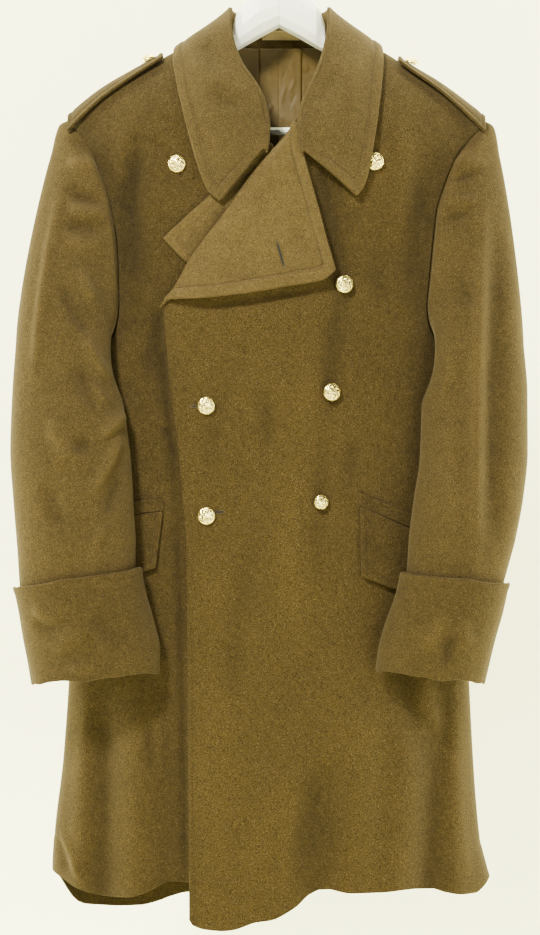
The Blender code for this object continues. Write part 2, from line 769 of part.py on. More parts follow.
def fronts():
    vs = np.array([0, 0.002, 0.008, 0.02, 0.04, 0.07, 0.11, 0.16, 0.205, 0.25, 0.28, 0.30, 0.311, 0.319])
    vs = np.concatenate([vs, np.linspace(0.319, 1, 11)[1:]])
    sides = (
        ("front_right", ARMHOLE_RIGHT, body_left, EDGE_RIGHT, HEM_RIGHT),
        ("front_left", ARMHOLE_LEFT, body_right, EDGE_LEFT, HEM_LEFT),
    )
    for name, armhole, side_edge, inner, hem in sides:
        left = name == "front_left"
        tip = armhole[0]
        across = column(ARMHOLE_COLUMNS, armhole, "front")
        hem_curve = cubic([p[0] for p in hem], [p[1] for p in hem])
        side_foot = hem[-1][1] if left else hem[0][1]
        inner_foot = hem[0][1] if left else hem[-1][1]
        inner_x = cubic([p[0] for p in inner], [p[1] for p in inner])

        def outer_at(v):
            down = tip[0] + (side_foot - tip[0]) * np.asarray(v, float)
            x = np.where(down < UNDERARM, across(down), side_edge(down))
            return to_turn(np.stack([x, down], axis=-1))

        def soft_at(v):
            down = tip[0] + (side_foot - tip[0]) * np.asarray(v, float)
            return to_turn(np.stack([softened(across, side_edge, down), down], axis=-1))

        def inner_at(v):
            down = inner[0][0] + (inner_foot - inner[0][0]) * np.asarray(v, float)
            return to_turn(np.stack([inner_x(down), down], axis=-1))

        def top_at(u):
            x = inner[0][1] + (tip[1] - inner[0][1]) * np.asarray(u, float)
            return to_turn(np.stack([x, ridge(x)], axis=-1))

        def foot_at(u):
            ends = (hem[0][0], hem[-1][0]) if left else (hem[-1][0], hem[0][0])
            x = ends[0] + (ends[1] - ends[0]) * np.asarray(u, float)
            return to_turn(np.stack([x, hem_curve(x)], axis=-1))

        us = np.linspace(0, 1, 15 if left else 14)
        grid = panel_grid(top_at, foot_at, inner_at, outer_at, soft_at, us, vs)
        x, down = from_turn(grid)
        y = depth(x, down, -1) - SEAM
        shift = folds(x, down, FOLDS_FRONT) * ramp(np.minimum(x - body_left(down), body_right(down) - x), 0, 25)
        if left:
            shift = shift + cover(x, down)
        y = y - shift
        sheet(name, np.stack([x, y, down], axis=-1), CLOTH, WOOL)


def backs():
    vs = np.array([0, 0.002, 0.008, 0.02, 0.04, 0.07, 0.11, 0.17, 0.23, 0.28, 0.30, 0.311, 0.319])
    vs = np.concatenate([vs, np.linspace(0.319, 1, 9)[1:]])
    sides = (
        ("back_right", ARMHOLE_RIGHT, body_left, -1.0, HEM_BACK_RIGHT),
        ("back_left", ARMHOLE_LEFT, body_right, 1.0, HEM_BACK_LEFT),
    )
    for name, armhole, side_edge, way, hem in sides:
        tip = armhole[0]
        hem_curve = cubic([p[0] for p in hem], [p[1] for p in hem])
        foot_middle = hem[0][1] if way > 0 else hem[-1][1]
        foot_side = hem[-1][1] if way > 0 else hem[0][1]
        across = column(ARMHOLE_COLUMNS, armhole, "back")

        def outer_at(v):
            down = tip[0] + (foot_side - tip[0]) * np.asarray(v, float)
            x = np.where(down < UNDERARM, across(down), side_edge(down))
            return to_turn(np.stack([x, down], axis=-1))

        def soft_at(v):
            down = tip[0] + (foot_side - tip[0]) * np.asarray(v, float)
            return to_turn(np.stack([softened(across, side_edge, down), down], axis=-1))

        def inner_at(v):
            down = NECK_BACK + (foot_middle - NECK_BACK) * np.asarray(v, float)
            return to_turn(np.stack([way * BACK_SEAM + 0 * down, down], axis=-1))

        def top_at(u):
            x = way * BACK_SEAM + (tip[1] - way * BACK_SEAM) * np.asarray(u, float)
            neck = NECK_BACK - (NECK_BACK - ridge(NECK_HALF)) * (x / NECK_HALF) ** 2
            down = np.where(np.abs(x) < NECK_HALF, neck, ridge(x))
            return to_turn(np.stack([x, down], axis=-1))

        def foot_at(u):
            u = np.asarray(u, float)
            x = way * BACK_SEAM + (side_edge(foot_side) - way * BACK_SEAM) * u
            return to_turn(np.stack([x, hem_curve(x)], axis=-1))

        us = np.linspace(0, 1, 10)
        grid = panel_grid(top_at, foot_at, inner_at, outer_at, soft_at, us, vs)
        x, down = from_turn(grid)
        shift = folds(x, down, FOLDS_BACK) * ramp(np.minimum(x - body_left(down), body_right(down) - x), 0, 25)
        y = depth(x, down, 1) + SEAM + shift
        sheet(name, np.stack([x, y, down], axis=-1), CLOTH, WOOL)


def lapels():
    bs = np.array([0, 0.06, 0.16, 0.32, 0.5, 0.7, 0.88, 1])
    rows = np.linspace(0, 1, 9)
    top = length_edge((LAPEL_LEFT_ROLL[0], LAPEL_LEFT_OUTER[0]))
    grid = patch(top, length_edge(LAPEL_LEFT_FOOT), length_edge(LAPEL_LEFT_ROLL), length_edge(LAPEL_LEFT_OUTER), bs, rows)
    x = grid[..., 0]
    down = grid[..., 1]
    b = bs[None, :]
    a = rows[:, None]
    puff = 3.4 + 5.0 * ramp(b, 0, 0.3) - 2.2 * ramp(b, 0.5, 1) + 3.0 * ramp(a, 0.72, 1) * ramp(b, 0.02, 0.2)
    sheet("lapel_left", surface(x, down, -1, cover(x, down) + puff), DOUBLE, WOOL_PALE)
    top = length_edge((LAPEL_RIGHT_ROLL[0], LAPEL_RIGHT_OUTER[0]))
    bs = np.linspace(0, 1, 7)
    grid = patch(
        top, length_edge(LAPEL_RIGHT_FOOT), length_edge(LAPEL_RIGHT_ROLL), length_edge(LAPEL_RIGHT_OUTER), bs, rows
    )
    x = grid[..., 0]
    down = grid[..., 1]
    sheet("lapel_right", surface(x, down, -1, 3.6 + 0 * x), 3.0, WOOL_PALE)


def pockets():
    pieces = (
        ("flap_left", FLAP_LEFT, 3.4, 3.0),
        ("welt_left", WELT_LEFT, 2.6, 2.0),
        ("flap_right", FLAP_RIGHT, 3.4, 3.0),
        ("welt_right", WELT_RIGHT, 2.6, 2.0),
    )
    for name, edges, off, thickness in pieces:
        top = length_edge(edges[0])
        foot = length_edge(edges[1])
        start = length_edge((edges[0][0], edges[1][0]))
        end = length_edge((edges[0][-1], edges[1][-1]))
        grid = patch(top, foot, start, end, np.linspace(0, 1, 6), np.linspace(0, 1, 4 if "flap" in name else 2))
        x = grid[..., 0]
        down = grid[..., 1]
        extra = cover(x, down) if "left" in name else 0 * x
        sheet(name, surface(x, down, -1, extra + off), thickness, WOOL)


def straps():
    for name, tip, inner in (("strap_right", -254.0, -142.0), ("strap_left", 248.0, 146.0)):
        rows = []
        for x in np.linspace(tip, inner, 7):
            share = (x - inner) / (tip - inner)
            lift = 4.5 + 2.0 * (1 - share) ** 3
            bend = 0.012 + 0.022 * share**1.5
            row = [(x, y, float(ridge(x)) - lift + bend * y * y) for y in np.linspace(-24, 22, 7)]
            rows.append(row)
        sheet(name, np.array(rows), DOUBLE, WOOL)


def lining():
    downs = np.concatenate([[LINING_TOP], np.linspace(178, LINING_FOOT, 9)])
    xs = np.array([-125, -95, -65, -42, -32, -26, -20, -14, -7, 0, 7, 14, 21, 27, 33, 42, 65, 95, 125], float)
    x, down = np.meshgrid(xs, downs)
    top = np.maximum(down, ridge(x) + 18)
    y = depth(x, top, 1) - LINING_OFF + np.minimum(-folds(x, top, FOLDS_LINING), 3.0)
    sheet("back_lining", np.stack([x, y, top], axis=-1), LINING, SATEEN)
    xs = np.linspace(LOOP_X[0], LOOP_X[1], 6)
    x, down = np.meshgrid(xs, np.array(LOOP_DOWN))
    middle = sum(LOOP_X) / 2
    arch = LOOP_BOW * (1 - ((x - middle) / (LOOP_X[1] - middle)) ** 2)
    sheet("hanger_loop", np.stack([x, LOOP_BACK - arch, down], axis=-1), LOOP_WALL, SATEEN)


def lathe(name, origin, axis, profile, steps, material):
    """A round solid from (radius, height) points, closed by a pole at each end."""
    axis = np.asarray(axis, float) / np.linalg.norm(axis)
    side = np.cross(axis, (0, 0, 1.0))
    side = side / np.linalg.norm(side)
    up = np.cross(axis, side)
    points = [origin + axis * profile[0][1]]
    for radius, height in profile[1:-1]:
        for k in range(steps):
            angle = 2 * math.pi * k / steps
            points.append(origin + axis * height + radius * (math.cos(angle) * side + math.sin(angle) * up))
    points.append(origin + axis * profile[-1][1])
    rings = len(profile) - 2
    faces = []
    for k in range(steps):
        n = (k + 1) % steps
        faces.append((0, 1 + k, 1 + n))
        for r in range(rings - 1):
            a = 1 + r * steps
            faces.append((a + k, a + steps + k, a + steps + n, a + n))
        last = 1 + (rings - 1) * steps
        faces.append((last + k, len(points) - 1, last + n))
    return body_of(name, np.array(points), faces, material)


def button_profile(radius, height):
    return (
        (0, height),
        (radius * 0.42, height * 0.93),
        (radius * 0.78, height * 0.66),
        (radius, height * 0.18),
        (radius * 0.97, 0),
        (0, 0),
    )


def seat(carrier, point, axis, radius):
    """The height along the axis at which a round foot just clears the piece that carries it."""
    mesh = bpy.data.objects[carrier].data
    points = [(v.co[0] * 1000, v.co[1] * 1000, -v.co[2] * 1000) for v in mesh.vertices]
    tree = BVHTree.FromPolygons(points, [tuple(p.vertices) for p in mesh.polygons])
    axis = axis / np.linalg.norm(axis)
    side = np.cross(axis, (0, 0, 1.0))
    side = side / np.linalg.norm(side)
    up = np.cross(axis, side)
    highest = -1e9
    for reach in (0.0, 0.5, 1.0):
        for angle in np.linspace(0, 2 * math.pi, 13)[:-1]:
            away = radius * reach * (math.cos(angle) * side + math.sin(angle) * up)
            start = point + away + axis * 30
            hit = tree.ray_cast(Vector(start), Vector(-axis), 60)
            if hit[0] is not None:
                highest = max(highest, 30 - hit[3])
    return point + axis * (highest + SEAT)


def buttons():
    for number, (x, down, side) in enumerate(BUTTONS):
        base = surface(x, down, -1, 3.0)
        axis = surface(x, down, -1, 10.0) - base
        radius = SMALL_BUTTON_RADIUS if number + 1 == SMALL_BUTTON else BUTTON_RADIUS
        base = seat("front_" + side, base, axis, radius)
        lathe(f"button_{number + 1}", base, axis, button_profile(radius, BUTTON_HEIGHT), 14, BRASS)
    for name, x in (("strap_button_right", -158.0), ("strap_button_left", 160.0)):
        lean = -0.45 if x < 0 else 0.45
        axis = np.array([lean, -0.35, -1])
        base = seat(name.replace("_button", ""), np.array([x, -7.0, float(ridge(x)) - 8]), axis, STRAP_BUTTON_RADIUS)
        lathe(name, base, axis, button_profile(STRAP_BUTTON_RADIUS, 5.0), 12, BRASS)


def tube(name, path, radius, steps, material):
    """A round rod along a path, closed by flat ends."""
    path = np.asarray(path, float)
    tangent = np.gradient(path, axis=0)
    points = []
    for p, t in zip(path, tangent):
        t = t / np.linalg.norm(t)
        side = np.cross(t, (0, 1.0, 0))
        side = side / np.linalg.norm(side)
        other = np.cross(t, side)
        for k in range(steps):
            angle = 2 * math.pi * k / steps
            points.append(p + radius * (math.cos(angle) * side + math.sin(angle) * other))
    faces = [tuple(range(steps))]
    for i in range(len(path) - 1):
        for k in range(steps):
            n = (k + 1) % steps
            a = i * steps
            faces.append((a + n, a + k, a + steps + k, a + steps + n))
    last = (len(path) - 1) * steps
    faces.append(tuple(last + k for k in reversed(range(steps))))
    return body_of(name, np.array(points), faces, material)


def hanger():
    rows = []
    for way in (-1, 1):
        half = [(way * x, ridge(way * x) + gap, ridge(way * x) + gap + tall, deep) for x, gap, tall, deep in HANGER_ARM]
        half = half + [(way * x, top, foot, deep) for x, top, foot, deep in HANGER]
        rows = half if way < 0 else rows + half[:-1][::-1]
    steps = 12
    points = []
    for x, top, foot, deep in rows:
        for k in range(steps):
            angle = 2 * math.pi * k / steps
            c = math.cos(angle)
            s = math.sin(angle)
            points.append((x, deep * s, (top + foot) / 2 - (foot - top) / 2 * c))
    faces = [tuple(range(steps))]
    for i in range(len(rows) - 1):
        for k in range(steps):
            n = (k + 1) % steps
            a = i * steps
            faces.append((a + n, a + k, a + steps + k, a + steps + n))
    last = (len(rows) - 1) * steps
    faces.append(tuple(last + k for k in reversed(range(steps))))
    body_of("hanger_body", np.array(points), faces, WHITE)
    bar = [(x, 0, BAR_DOWN) for x in np.linspace(-BAR_HALF, BAR_HALF, 5)]
    tube("hanger_bar", bar, BAR_RADIUS, 10, WHITE)
    path = []
    middle_down = HOOK_RADIUS - HOOK_ROD
    for angle in np.radians(np.linspace(205, -38, 15)):
        path.append((HOOK_RADIUS * math.cos(angle), 0, middle_down - HOOK_RADIUS * math.sin(angle)))
    path.extend([(11, 0, 41), (4, 0, 50), (0.5, 0, 58), (0, 0, 66), (0, 0, 75.6)])
    tube("hanger_hook", path, HOOK_ROD, 8, STEEL)


for existing in list(bpy.data.objects):
    bpy.data.objects.remove(existing, do_unlink=True)

fronts()
backs()
lapels()
collar()
sleeve("sleeve_right", ARMHOLE_RIGHT, SLEEVE_RIGHT, CUFF_RIGHT, 26, 7, 5)
sleeve("sleeve_left", ARMHOLE_LEFT, SLEEVE_LEFT, CUFF_LEFT, 26, 7, 5)
cuff("cuff_right", CUFF_RIGHT, 26, 4)
cuff("cuff_left", CUFF_LEFT, 26, 4)
pockets()
straps()
lining()
buttons()
hanger()
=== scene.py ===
# Looks of a khaki greatcoat on its hanger. Lengths in the tables are millimetres;
# "down" is measured from the inside top of the hook. -Y is the front, +X the wearer's left side.
import math

import bpy
import numpy as np
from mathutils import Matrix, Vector


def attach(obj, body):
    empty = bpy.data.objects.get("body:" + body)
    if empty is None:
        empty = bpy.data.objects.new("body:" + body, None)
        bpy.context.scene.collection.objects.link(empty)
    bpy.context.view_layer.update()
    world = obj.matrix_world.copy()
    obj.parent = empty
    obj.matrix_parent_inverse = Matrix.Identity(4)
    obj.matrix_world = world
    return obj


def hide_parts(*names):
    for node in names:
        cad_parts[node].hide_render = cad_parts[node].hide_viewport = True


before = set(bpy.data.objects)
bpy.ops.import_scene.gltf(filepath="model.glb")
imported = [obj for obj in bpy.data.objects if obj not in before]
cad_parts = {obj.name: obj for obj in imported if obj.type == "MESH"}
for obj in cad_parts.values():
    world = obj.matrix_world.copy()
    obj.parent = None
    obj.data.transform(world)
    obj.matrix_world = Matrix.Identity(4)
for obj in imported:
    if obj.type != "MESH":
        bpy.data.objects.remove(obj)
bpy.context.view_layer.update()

mm = 0.001

# the hanging form that every panel follows
coatForm = {
    "shoulderDrop": 105.0,
    "flatness": 0.4,
    "underarm": 535.0,
    "seam": 0.9,
    "sideFade": 25.0,  # folds and creases die out this near to a side seam
    "sections": [  # down, left, right, front, back
        (76, -266, 262, 52, 46), (180, -266, 262, 54, 46), (243, -264, 258, 56, 44), (300, -246, 238, 59, 42),
        (400, -228, 214, 64, 38), (535, -222, 207, 67, 35), (620, -228, 209, 66, 34),
        (700, -236, 214, 65, 35), (820, -247, 223, 66, 37), (918, -253, 229, 69, 40),
        (1014, -260, 234, 73, 43), (1110, -271, 242, 77, 46), (1148, -273, 251, 78, 47),
        (1160, -268, 254, 79, 47), (1220, -238, 250, 80, 48),
    ],
    "ridge": [  # x, down of the shoulder line
        (-266, 254), (-256, 243), (-232, 222), (-210, 206), (-163, 180), (-140, 168), (-121, 158), (-66, 139),
        (-30, 122), (0, 112), (30, 122), (66, 139), (121, 158), (140, 169), (158, 181), (193, 201),
        (229, 227), (250, 244), (262, 256),
    ],
    # down, how far the lapped front stands forward
    "lead": [(139, 0), (170, 1), (210, 4), (255, 8), (300, 9.5), (460, 9.5),
             (540, 7.5), (640, 6.5), (1220, 6.5)],
    "armholeRight": [  # down, front x, back x
        (243, -256, -256), (259, -240, -246), (282, -225, -236), (304, -215, -229), (328, -206, -222),
        (352, -200, -217), (390, -194, -212), (440, -191, -209), (470, -190.5, -208.5), (490, -193, -209.5),
        (505, -198, -212), (518, -205, -215), (528, -213, -218.5), (533, -219, -221), (535, -222, -222),
    ],
    "armholeLeft": [
        (244, 250, 250), (257, 237, 240), (276, 221, 230), (294, 209, 221), (324, 197, 211), (354, 188, 204),
        (390, 184, 199), (440, 179, 195), (470, 176, 193), (490, 178.5, 194.5), (505, 184, 197),
        (518, 191, 200.5), (528, 199, 204), (533, 204.5, 206.3), (535, 207, 207),
    ],
}


def eased(t, start, leave, end, arrive):
    # a smooth way from start to end, with its slope at both
    first = (1 + 2 * t) * (1 - t) ** 2 * start + t * (1 - t) ** 2 * leave
    return first + t * t * (3 - 2 * t) * end + t * t * (t - 1) * arrive


def smoothCurve(xs, ys):
    # a curve through points that never swings past them
    xs = np.asarray(xs, float)
    ys = np.asarray(ys, float)
    step = np.diff(xs)
    slope = np.diff(ys) / step
    lean = np.zeros(len(xs))
    lean[0] = slope[0]
    lean[-1] = slope[-1]
    both = slope[:-1] * slope[1:]
    safe = np.where(both > 0, slope[:-1] + slope[1:], 1.0)
    lean[1:-1] = np.where(both > 0, 2 * both / safe, 0.0)

    def at(x):
        x = np.clip(x, xs[0], xs[-1])
        i = np.clip(np.searchsorted(xs, x) - 1, 0, len(step) - 1)
        return eased((x - xs[i]) / step[i], ys[i], step[i] * lean[i], ys[i + 1], step[i] * lean[i + 1])

    return at


def tableCurve(rows, column, key=0):
    return smoothCurve([row[key] for row in rows], [row[column] for row in rows])


def fade(value, start, end):
    t = np.clip((value - start) / (end - start), 0, 1)
    return t * t * (3 - 2 * t)


bodyLeft = tableCurve(coatForm["sections"], 1)
bodyRight = tableCurve(coatForm["sections"], 2)
bodyFront = tableCurve(coatForm["sections"], 3)
bodyBack = tableCurve(coatForm["sections"], 4)
ridge = tableCurve(coatForm["ridge"], 1)
lead = tableCurve(coatForm["lead"], 1)


def bodySpan(down):
    # middle and half width of the coat at each height
    return (bodyLeft(down) + bodyRight(down)) / 2, (bodyRight(down) - bodyLeft(down)) / 2


def bodyDepth(x, down, side):
    middle, half = bodySpan(down)
    across = np.clip(1 - ((x - middle) / half) ** 2, 0, 1) ** coatForm["flatness"]
    fall = np.clip((down - ridge(x)) / coatForm["shoulderDrop"], 0, 1)
    full = bodyFront(down) if side < 0 else bodyBack(down)
    return side * full * across * np.sqrt(np.clip(1 - (1 - fall) ** 2, 0, 1))


def insideSeams(x, down):
    return fade(np.minimum(x - bodyLeft(down), bodyRight(down) - x), 0, coatForm["sideFade"])


# large hanging folds, a row per fold: x and down at its top, x and down at its foot, width, rise
bodyFolds = {
    "front": [
        (196, 860, 176, 1200, 20, -6), (168, 880, 140, 1200, 22, 6), (216, 900, 214, 1200, 18, 6),
        (60, 1000, 40, 1230, 24, -9), (10, 960, -20, 1240, 34, 6), (96, 880, 92, 1200, 28, 4),
        (-60, 700, -70, 1200, 34, 4), (-205, 900, -212, 1190, 18, -6), (-235, 880, -240, 1190, 16, 5),
        (-170, 900, -172, 1190, 24, 7), (-138, 900, -132, 1190, 16, -4), (60, 480, 20, 760, 34, 4),
        (120, 330, 90, 560, 30, -4), (-165, 330, -150, 560, 26, -4),
    ],
    "back": [
        (-60, 300, -90, 1190, 34, 6), (-130, 420, -150, 1190, 28, -6), (-190, 620, -205, 1190, 26, 6),
        (55, 330, 80, 1190, 34, 6), (120, 420, 138, 1190, 28, -6), (180, 640, 196, 1190, 26, 6),
        (-12, 260, -10, 900, 26, 3),
    ],
}


def foldRise(x, down, rows):
    total = np.zeros(np.shape(x))
    for xTop, downTop, xFoot, downFoot, width, rise in rows:
        along = (down - downTop) / (downFoot - downTop)
        middle = xTop + (xFoot - xTop) * along
        ends = fade(along, 0, 0.35) * fade(-along, -1.25, -0.95)
        total = total + rise * ends * np.exp(-(((x - middle) / width) ** 2))
    return total


def heading(x0, down0, x1, down1):
    # length of a line and its way in x and down
    length = math.hypot(x1 - x0, down1 - down0)
    return length, (x1 - x0) / length, (down1 - down0) / length


def creaseRise(x, down, rows):
    # each row: x and down of one end, x and down of the other, sideways bow, width, rise
    total = np.zeros(np.shape(x))
    for x0, down0, x1, down1, bow, width, rise in rows:
        length, ux, ud = heading(x0, down0, x1, down1)
        along = ((x - x0) * ux + (down - down0) * ud) / length
        across = (down - down0) * ux - (x - x0) * ud - bow * 4 * along * (1 - along)
        ends = fade(along, -0.06, 0.3) * fade(-along, -1.06, -0.7)
        total = total + rise * ends * np.exp(-((across / width) ** 2))
    return total


def frontLead(x, down):
    return lead(down) * fade(-x, -190, -70)


def onBody(x, down, side, off):
    # points that stand "off" the coat's front or back, square to it
    x = np.asarray(x, float)
    down = np.asarray(down, float)
    rows = bodyFolds["front" if side < 0 else "back"]

    def level(a, b):
        return bodyDepth(a, b, side) + side * (coatForm["seam"] + foldRise(a, b, rows))

    y = level(x, down)
    byX = np.clip((level(x + 1, down) - level(x - 1, down)) / 2, -3, 3)
    byDown = np.clip((level(x, down + 1) - level(x, down - 1)) / 2, -3, 3)
    shift = side * np.asarray(off, float) / np.sqrt(1 + byX**2 + byDown**2)
    return np.stack([x - shift * byX, y + shift, down - shift * byDown], axis=-1)


def edgeCurve(points):
    # a curve through points, run from 0 to 1
    points = np.asarray(points, float)
    steps = np.linalg.norm(np.diff(points, axis=0), axis=1)
    share = np.concatenate([[0], np.cumsum(steps)]) / steps.sum()
    curves = [smoothCurve(share, points[:, axis]) for axis in range(points.shape[1])]
    return lambda t: np.stack([curve(np.asarray(t, float)) for curve in curves], axis=-1)


def fillEdges(top, foot, start, end, us, vs):
    # a grid of points between four edge curves
    u = np.asarray(us, float)[None, :, None]
    v = np.asarray(vs, float)[:, None, None]
    rows = (1 - v) * top(us)[None] + v * foot(us)[None]
    cols = (1 - u) * start(vs)[:, None] + u * end(vs)[:, None]
    a, b = top(np.array([0.0, 1.0]))
    c, d = foot(np.array([0.0, 1.0]))
    return rows + cols - (1 - v) * ((1 - u) * a + u * b) - v * ((1 - u) * c + u * d)


def fillOutline(top, foot, start, end, us, vs):
    # x and down of a grid between four edges, each given by its points
    flat = fillEdges(edgeCurve(top), edgeCurve(foot), edgeCurve(start), edgeCurve(end), us, vs)
    return flat[..., 0], flat[..., 1]


def toTurn(x, down):
    # the angle round the coat, so that a panel's columns crowd where it turns to the side
    middle, half = bodySpan(down)
    return np.stack([np.arccos(np.clip((middle - x) / half, -1, 1)), down], axis=-1)


def fromTurn(pair):
    down = pair[..., 1]
    middle, half = bodySpan(down)
    return middle - half * np.cos(pair[..., 0]), down


def places(length, step, fine=None, reach=0.0):
    # shares from 0 to 1 along a side, closer together within "reach" of both ends
    if fine is None:
        return np.linspace(0, 1, max(int(round(length / step)), 2) + 1)
    near = np.arange(0, reach, fine) / length
    count = max(int((length - 2 * reach) / step), 2) + 1
    return np.concatenate([near, np.linspace(reach / length, 1 - reach / length, count), 1 - near[::-1]])


def fullTurn(count):
    return np.arange(count) * 2 * math.pi / count


def unit(vectors):
    return vectors / np.maximum(np.linalg.norm(vectors, axis=-1, keepdims=True), 1e-9)


def faceWays(grid, closed, facing=None):
    # the way out of the cloth at each point
    if closed:
        across = np.roll(grid, -1, axis=1) - np.roll(grid, 1, axis=1)
    else:
        across = np.gradient(grid, axis=1)
    normal = unit(np.cross(across, np.gradient(grid, axis=0)))
    away = grid - grid.mean(axis=1, keepdims=True) if facing is None else np.asarray(facing, float)
    return -normal if (normal * away).sum() < 0 else normal


def turnedTo(side, ways):
    # 1 where the cloth faces the front (-1) or the back (1), 0 where it faces sideways
    return fade(side * ways[..., 1], 0.05, 0.5)


def edgeDistance(grid):
    # millimetres from each point to the nearest edge of an open grid, along the grid's lines
    wide = np.linalg.norm(np.diff(grid, axis=1), axis=2)
    tall = np.linalg.norm(np.diff(grid, axis=0), axis=2)
    left = np.concatenate([np.zeros((grid.shape[0], 1)), np.cumsum(wide, axis=1)], axis=1)
    top = np.concatenate([np.zeros((1, grid.shape[1])), np.cumsum(tall, axis=0)], axis=0)
    return {"start": left, "end": left[:, -1:] - left, "top": top, "foot": top[-1:] - top}


edgeSides = ("start", "end", "top", "foot")
surfaces = {}  # outer points and ways of the panels that carry buttonholes
farAway = 1e3
sewing = {
    "grooveDepth": 0.75,
    "grooveWidth": 2.2,
    "bandRise": 0.55,
    "bandFade": 2.5,
    "cornerSlack": 0.6,
    "stitch": 3.4,
    "gap": 1.0,
    "radius": 0.30,
    # millimetres of rise, or of painted light, that give the full painted shade
    "paintedShadeReach": 6.0,
    "profile": [(0.3, -0.25), (0.85, 0.12), (1.0, 0.22), (0.85, 0.12), (0.3, -0.25)],  # bulk, lift
    "threadSides": 5,
}


def pressedEdge(grid, insets, spans=None, band=1.0, deep=1.0):
    # a turned edge stands a little fuller than the cloth, with a groove where it is stitched down
    distance = edgeDistance(grid)
    inward = np.full(grid.shape[:2], farAway)
    for side, inset in insets.items():
        first, last = (spans or {}).get(side, (0, 1))
        alongRows = side in ("start", "end")
        share = np.linspace(0, 1, grid.shape[0 if alongRows else 1])
        outside = np.where((share < first) | (share > last), farAway, 0.0)
        outside = outside[:, None] if alongRows else outside[None]
        inward = np.minimum(inward, distance[side] - inset + outside)
    groove = -deep * sewing["grooveDepth"] * np.exp(-((inward / sewing["grooveWidth"]) ** 2))
    return groove + band * sewing["bandRise"] * (1 - fade(inward, -sewing["bandFade"], 0))


def insetPath(surface, side, inset):
    # the line that runs at a set distance inside one edge, with everything known about each point
    lines = surface if side in ("start", "end") else surface.transpose(1, 0, 2)
    lines = lines[:, ::-1] if side in ("end", "foot") else lines
    column = 6 + edgeSides.index(side)
    return np.array([[np.interp(inset, line[:, column], line[:, k]) for k in range(surface.shape[2])]
                     for line in lines])


def stitchRuns(outer, ways, insets, spans=None):
    # the lines of points and ways along which a piece is stitched
    distance = edgeDistance(outer)
    surface = np.concatenate([outer, ways] + [distance[side][..., None] for side in edgeSides], axis=2)
    runs = []
    for side, inset in insets.items():
        path = insetPath(surface, side, inset)
        first, last = (spans or {}).get(side, (0, 1))
        share = np.linspace(0, 1, len(path))
        keep = (share >= first) & (share <= last)
        for other, margin in insets.items():
            if other != side:
                keep &= path[:, 6 + edgeSides.index(other)] > margin - sewing["cornerSlack"]
        runs.append(path[keep][:, :6])
    return runs


def tubeFaces(rings, count, base=0):
    # faces between rings of points, with a cap at each end
    faces = []
    for a in range(base, base + (rings - 1) * count, count):
        for k in range(count):
            n = (k + 1) % count
            faces.append((a + k, a + n, a + count + n, a + count + k))
    faces.append(tuple(base + k for k in range(count))[::-1])
    faces.append(tuple(base + (rings - 1) * count + k for k in range(count)))
    return faces


def addStitch(points, faces, line):
    # one raised thread along a short line of points and ways
    along = unit(line[-1, :3] - line[0, :3])
    side = unit(np.cross(along, line[:, 3:].mean(axis=0)))
    way = np.cross(side, along)
    faces.extend(tubeFaces(len(sewing["profile"]), sewing["threadSides"], len(points)))
    for (bulk, lift), spot in zip(sewing["profile"], line):
        for angle in fullTurn(sewing["threadSides"]):
            turn = side * math.cos(angle) + way * math.sin(angle)
            points.append(spot[:3] + way * lift + turn * bulk * sewing["radius"])


def layStitches(name, runs, look):
    # thread lies in its groove, one small stitch after another, all joined in one mesh
    points = []
    faces = []
    stitch = sewing["stitch"]
    for run in runs:
        reach = np.concatenate([[0], np.cumsum(np.linalg.norm(np.diff(run[:, :3], axis=0), axis=1))])
        for start in np.arange(sewing["gap"], reach[-1] - stitch, stitch + sewing["gap"]):
            spots = start + stitch * np.linspace(0, 1, len(sewing["profile"]))
            line = np.stack([np.interp(spots, reach, run[:, k]) for k in range(6)], axis=-1)
            addStitch(points, faces, line)
    newMesh(name, points, rightWayOut(points, faces), look)


def newMesh(name, points, faces, look):
    # from millimetres and "down" to metres and height
    points = np.asarray(points, float) * mm
    points = np.stack([points[:, 0], points[:, 1], -points[:, 2]], axis=1)
    mesh = bpy.data.meshes.new(name)
    mesh.from_pydata(points.tolist(), [], faces)
    mesh.update()
    mesh.shade_smooth()
    piece = bpy.data.objects.new(name, mesh)
    bpy.context.scene.collection.objects.link(piece)
    mesh.materials.append(look)
    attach(piece, "root")
    return piece


def rightWayOut(points, faces):
    # turns every face over when the closed body is inside out
    corners = np.array(points)[np.array([face[:3] for face in faces])]
    corners = np.stack([corners[..., 0], corners[..., 1], -corners[..., 2]], axis=-1)
    return faces if np.linalg.det(corners).sum() > 0 else [face[::-1] for face in faces]


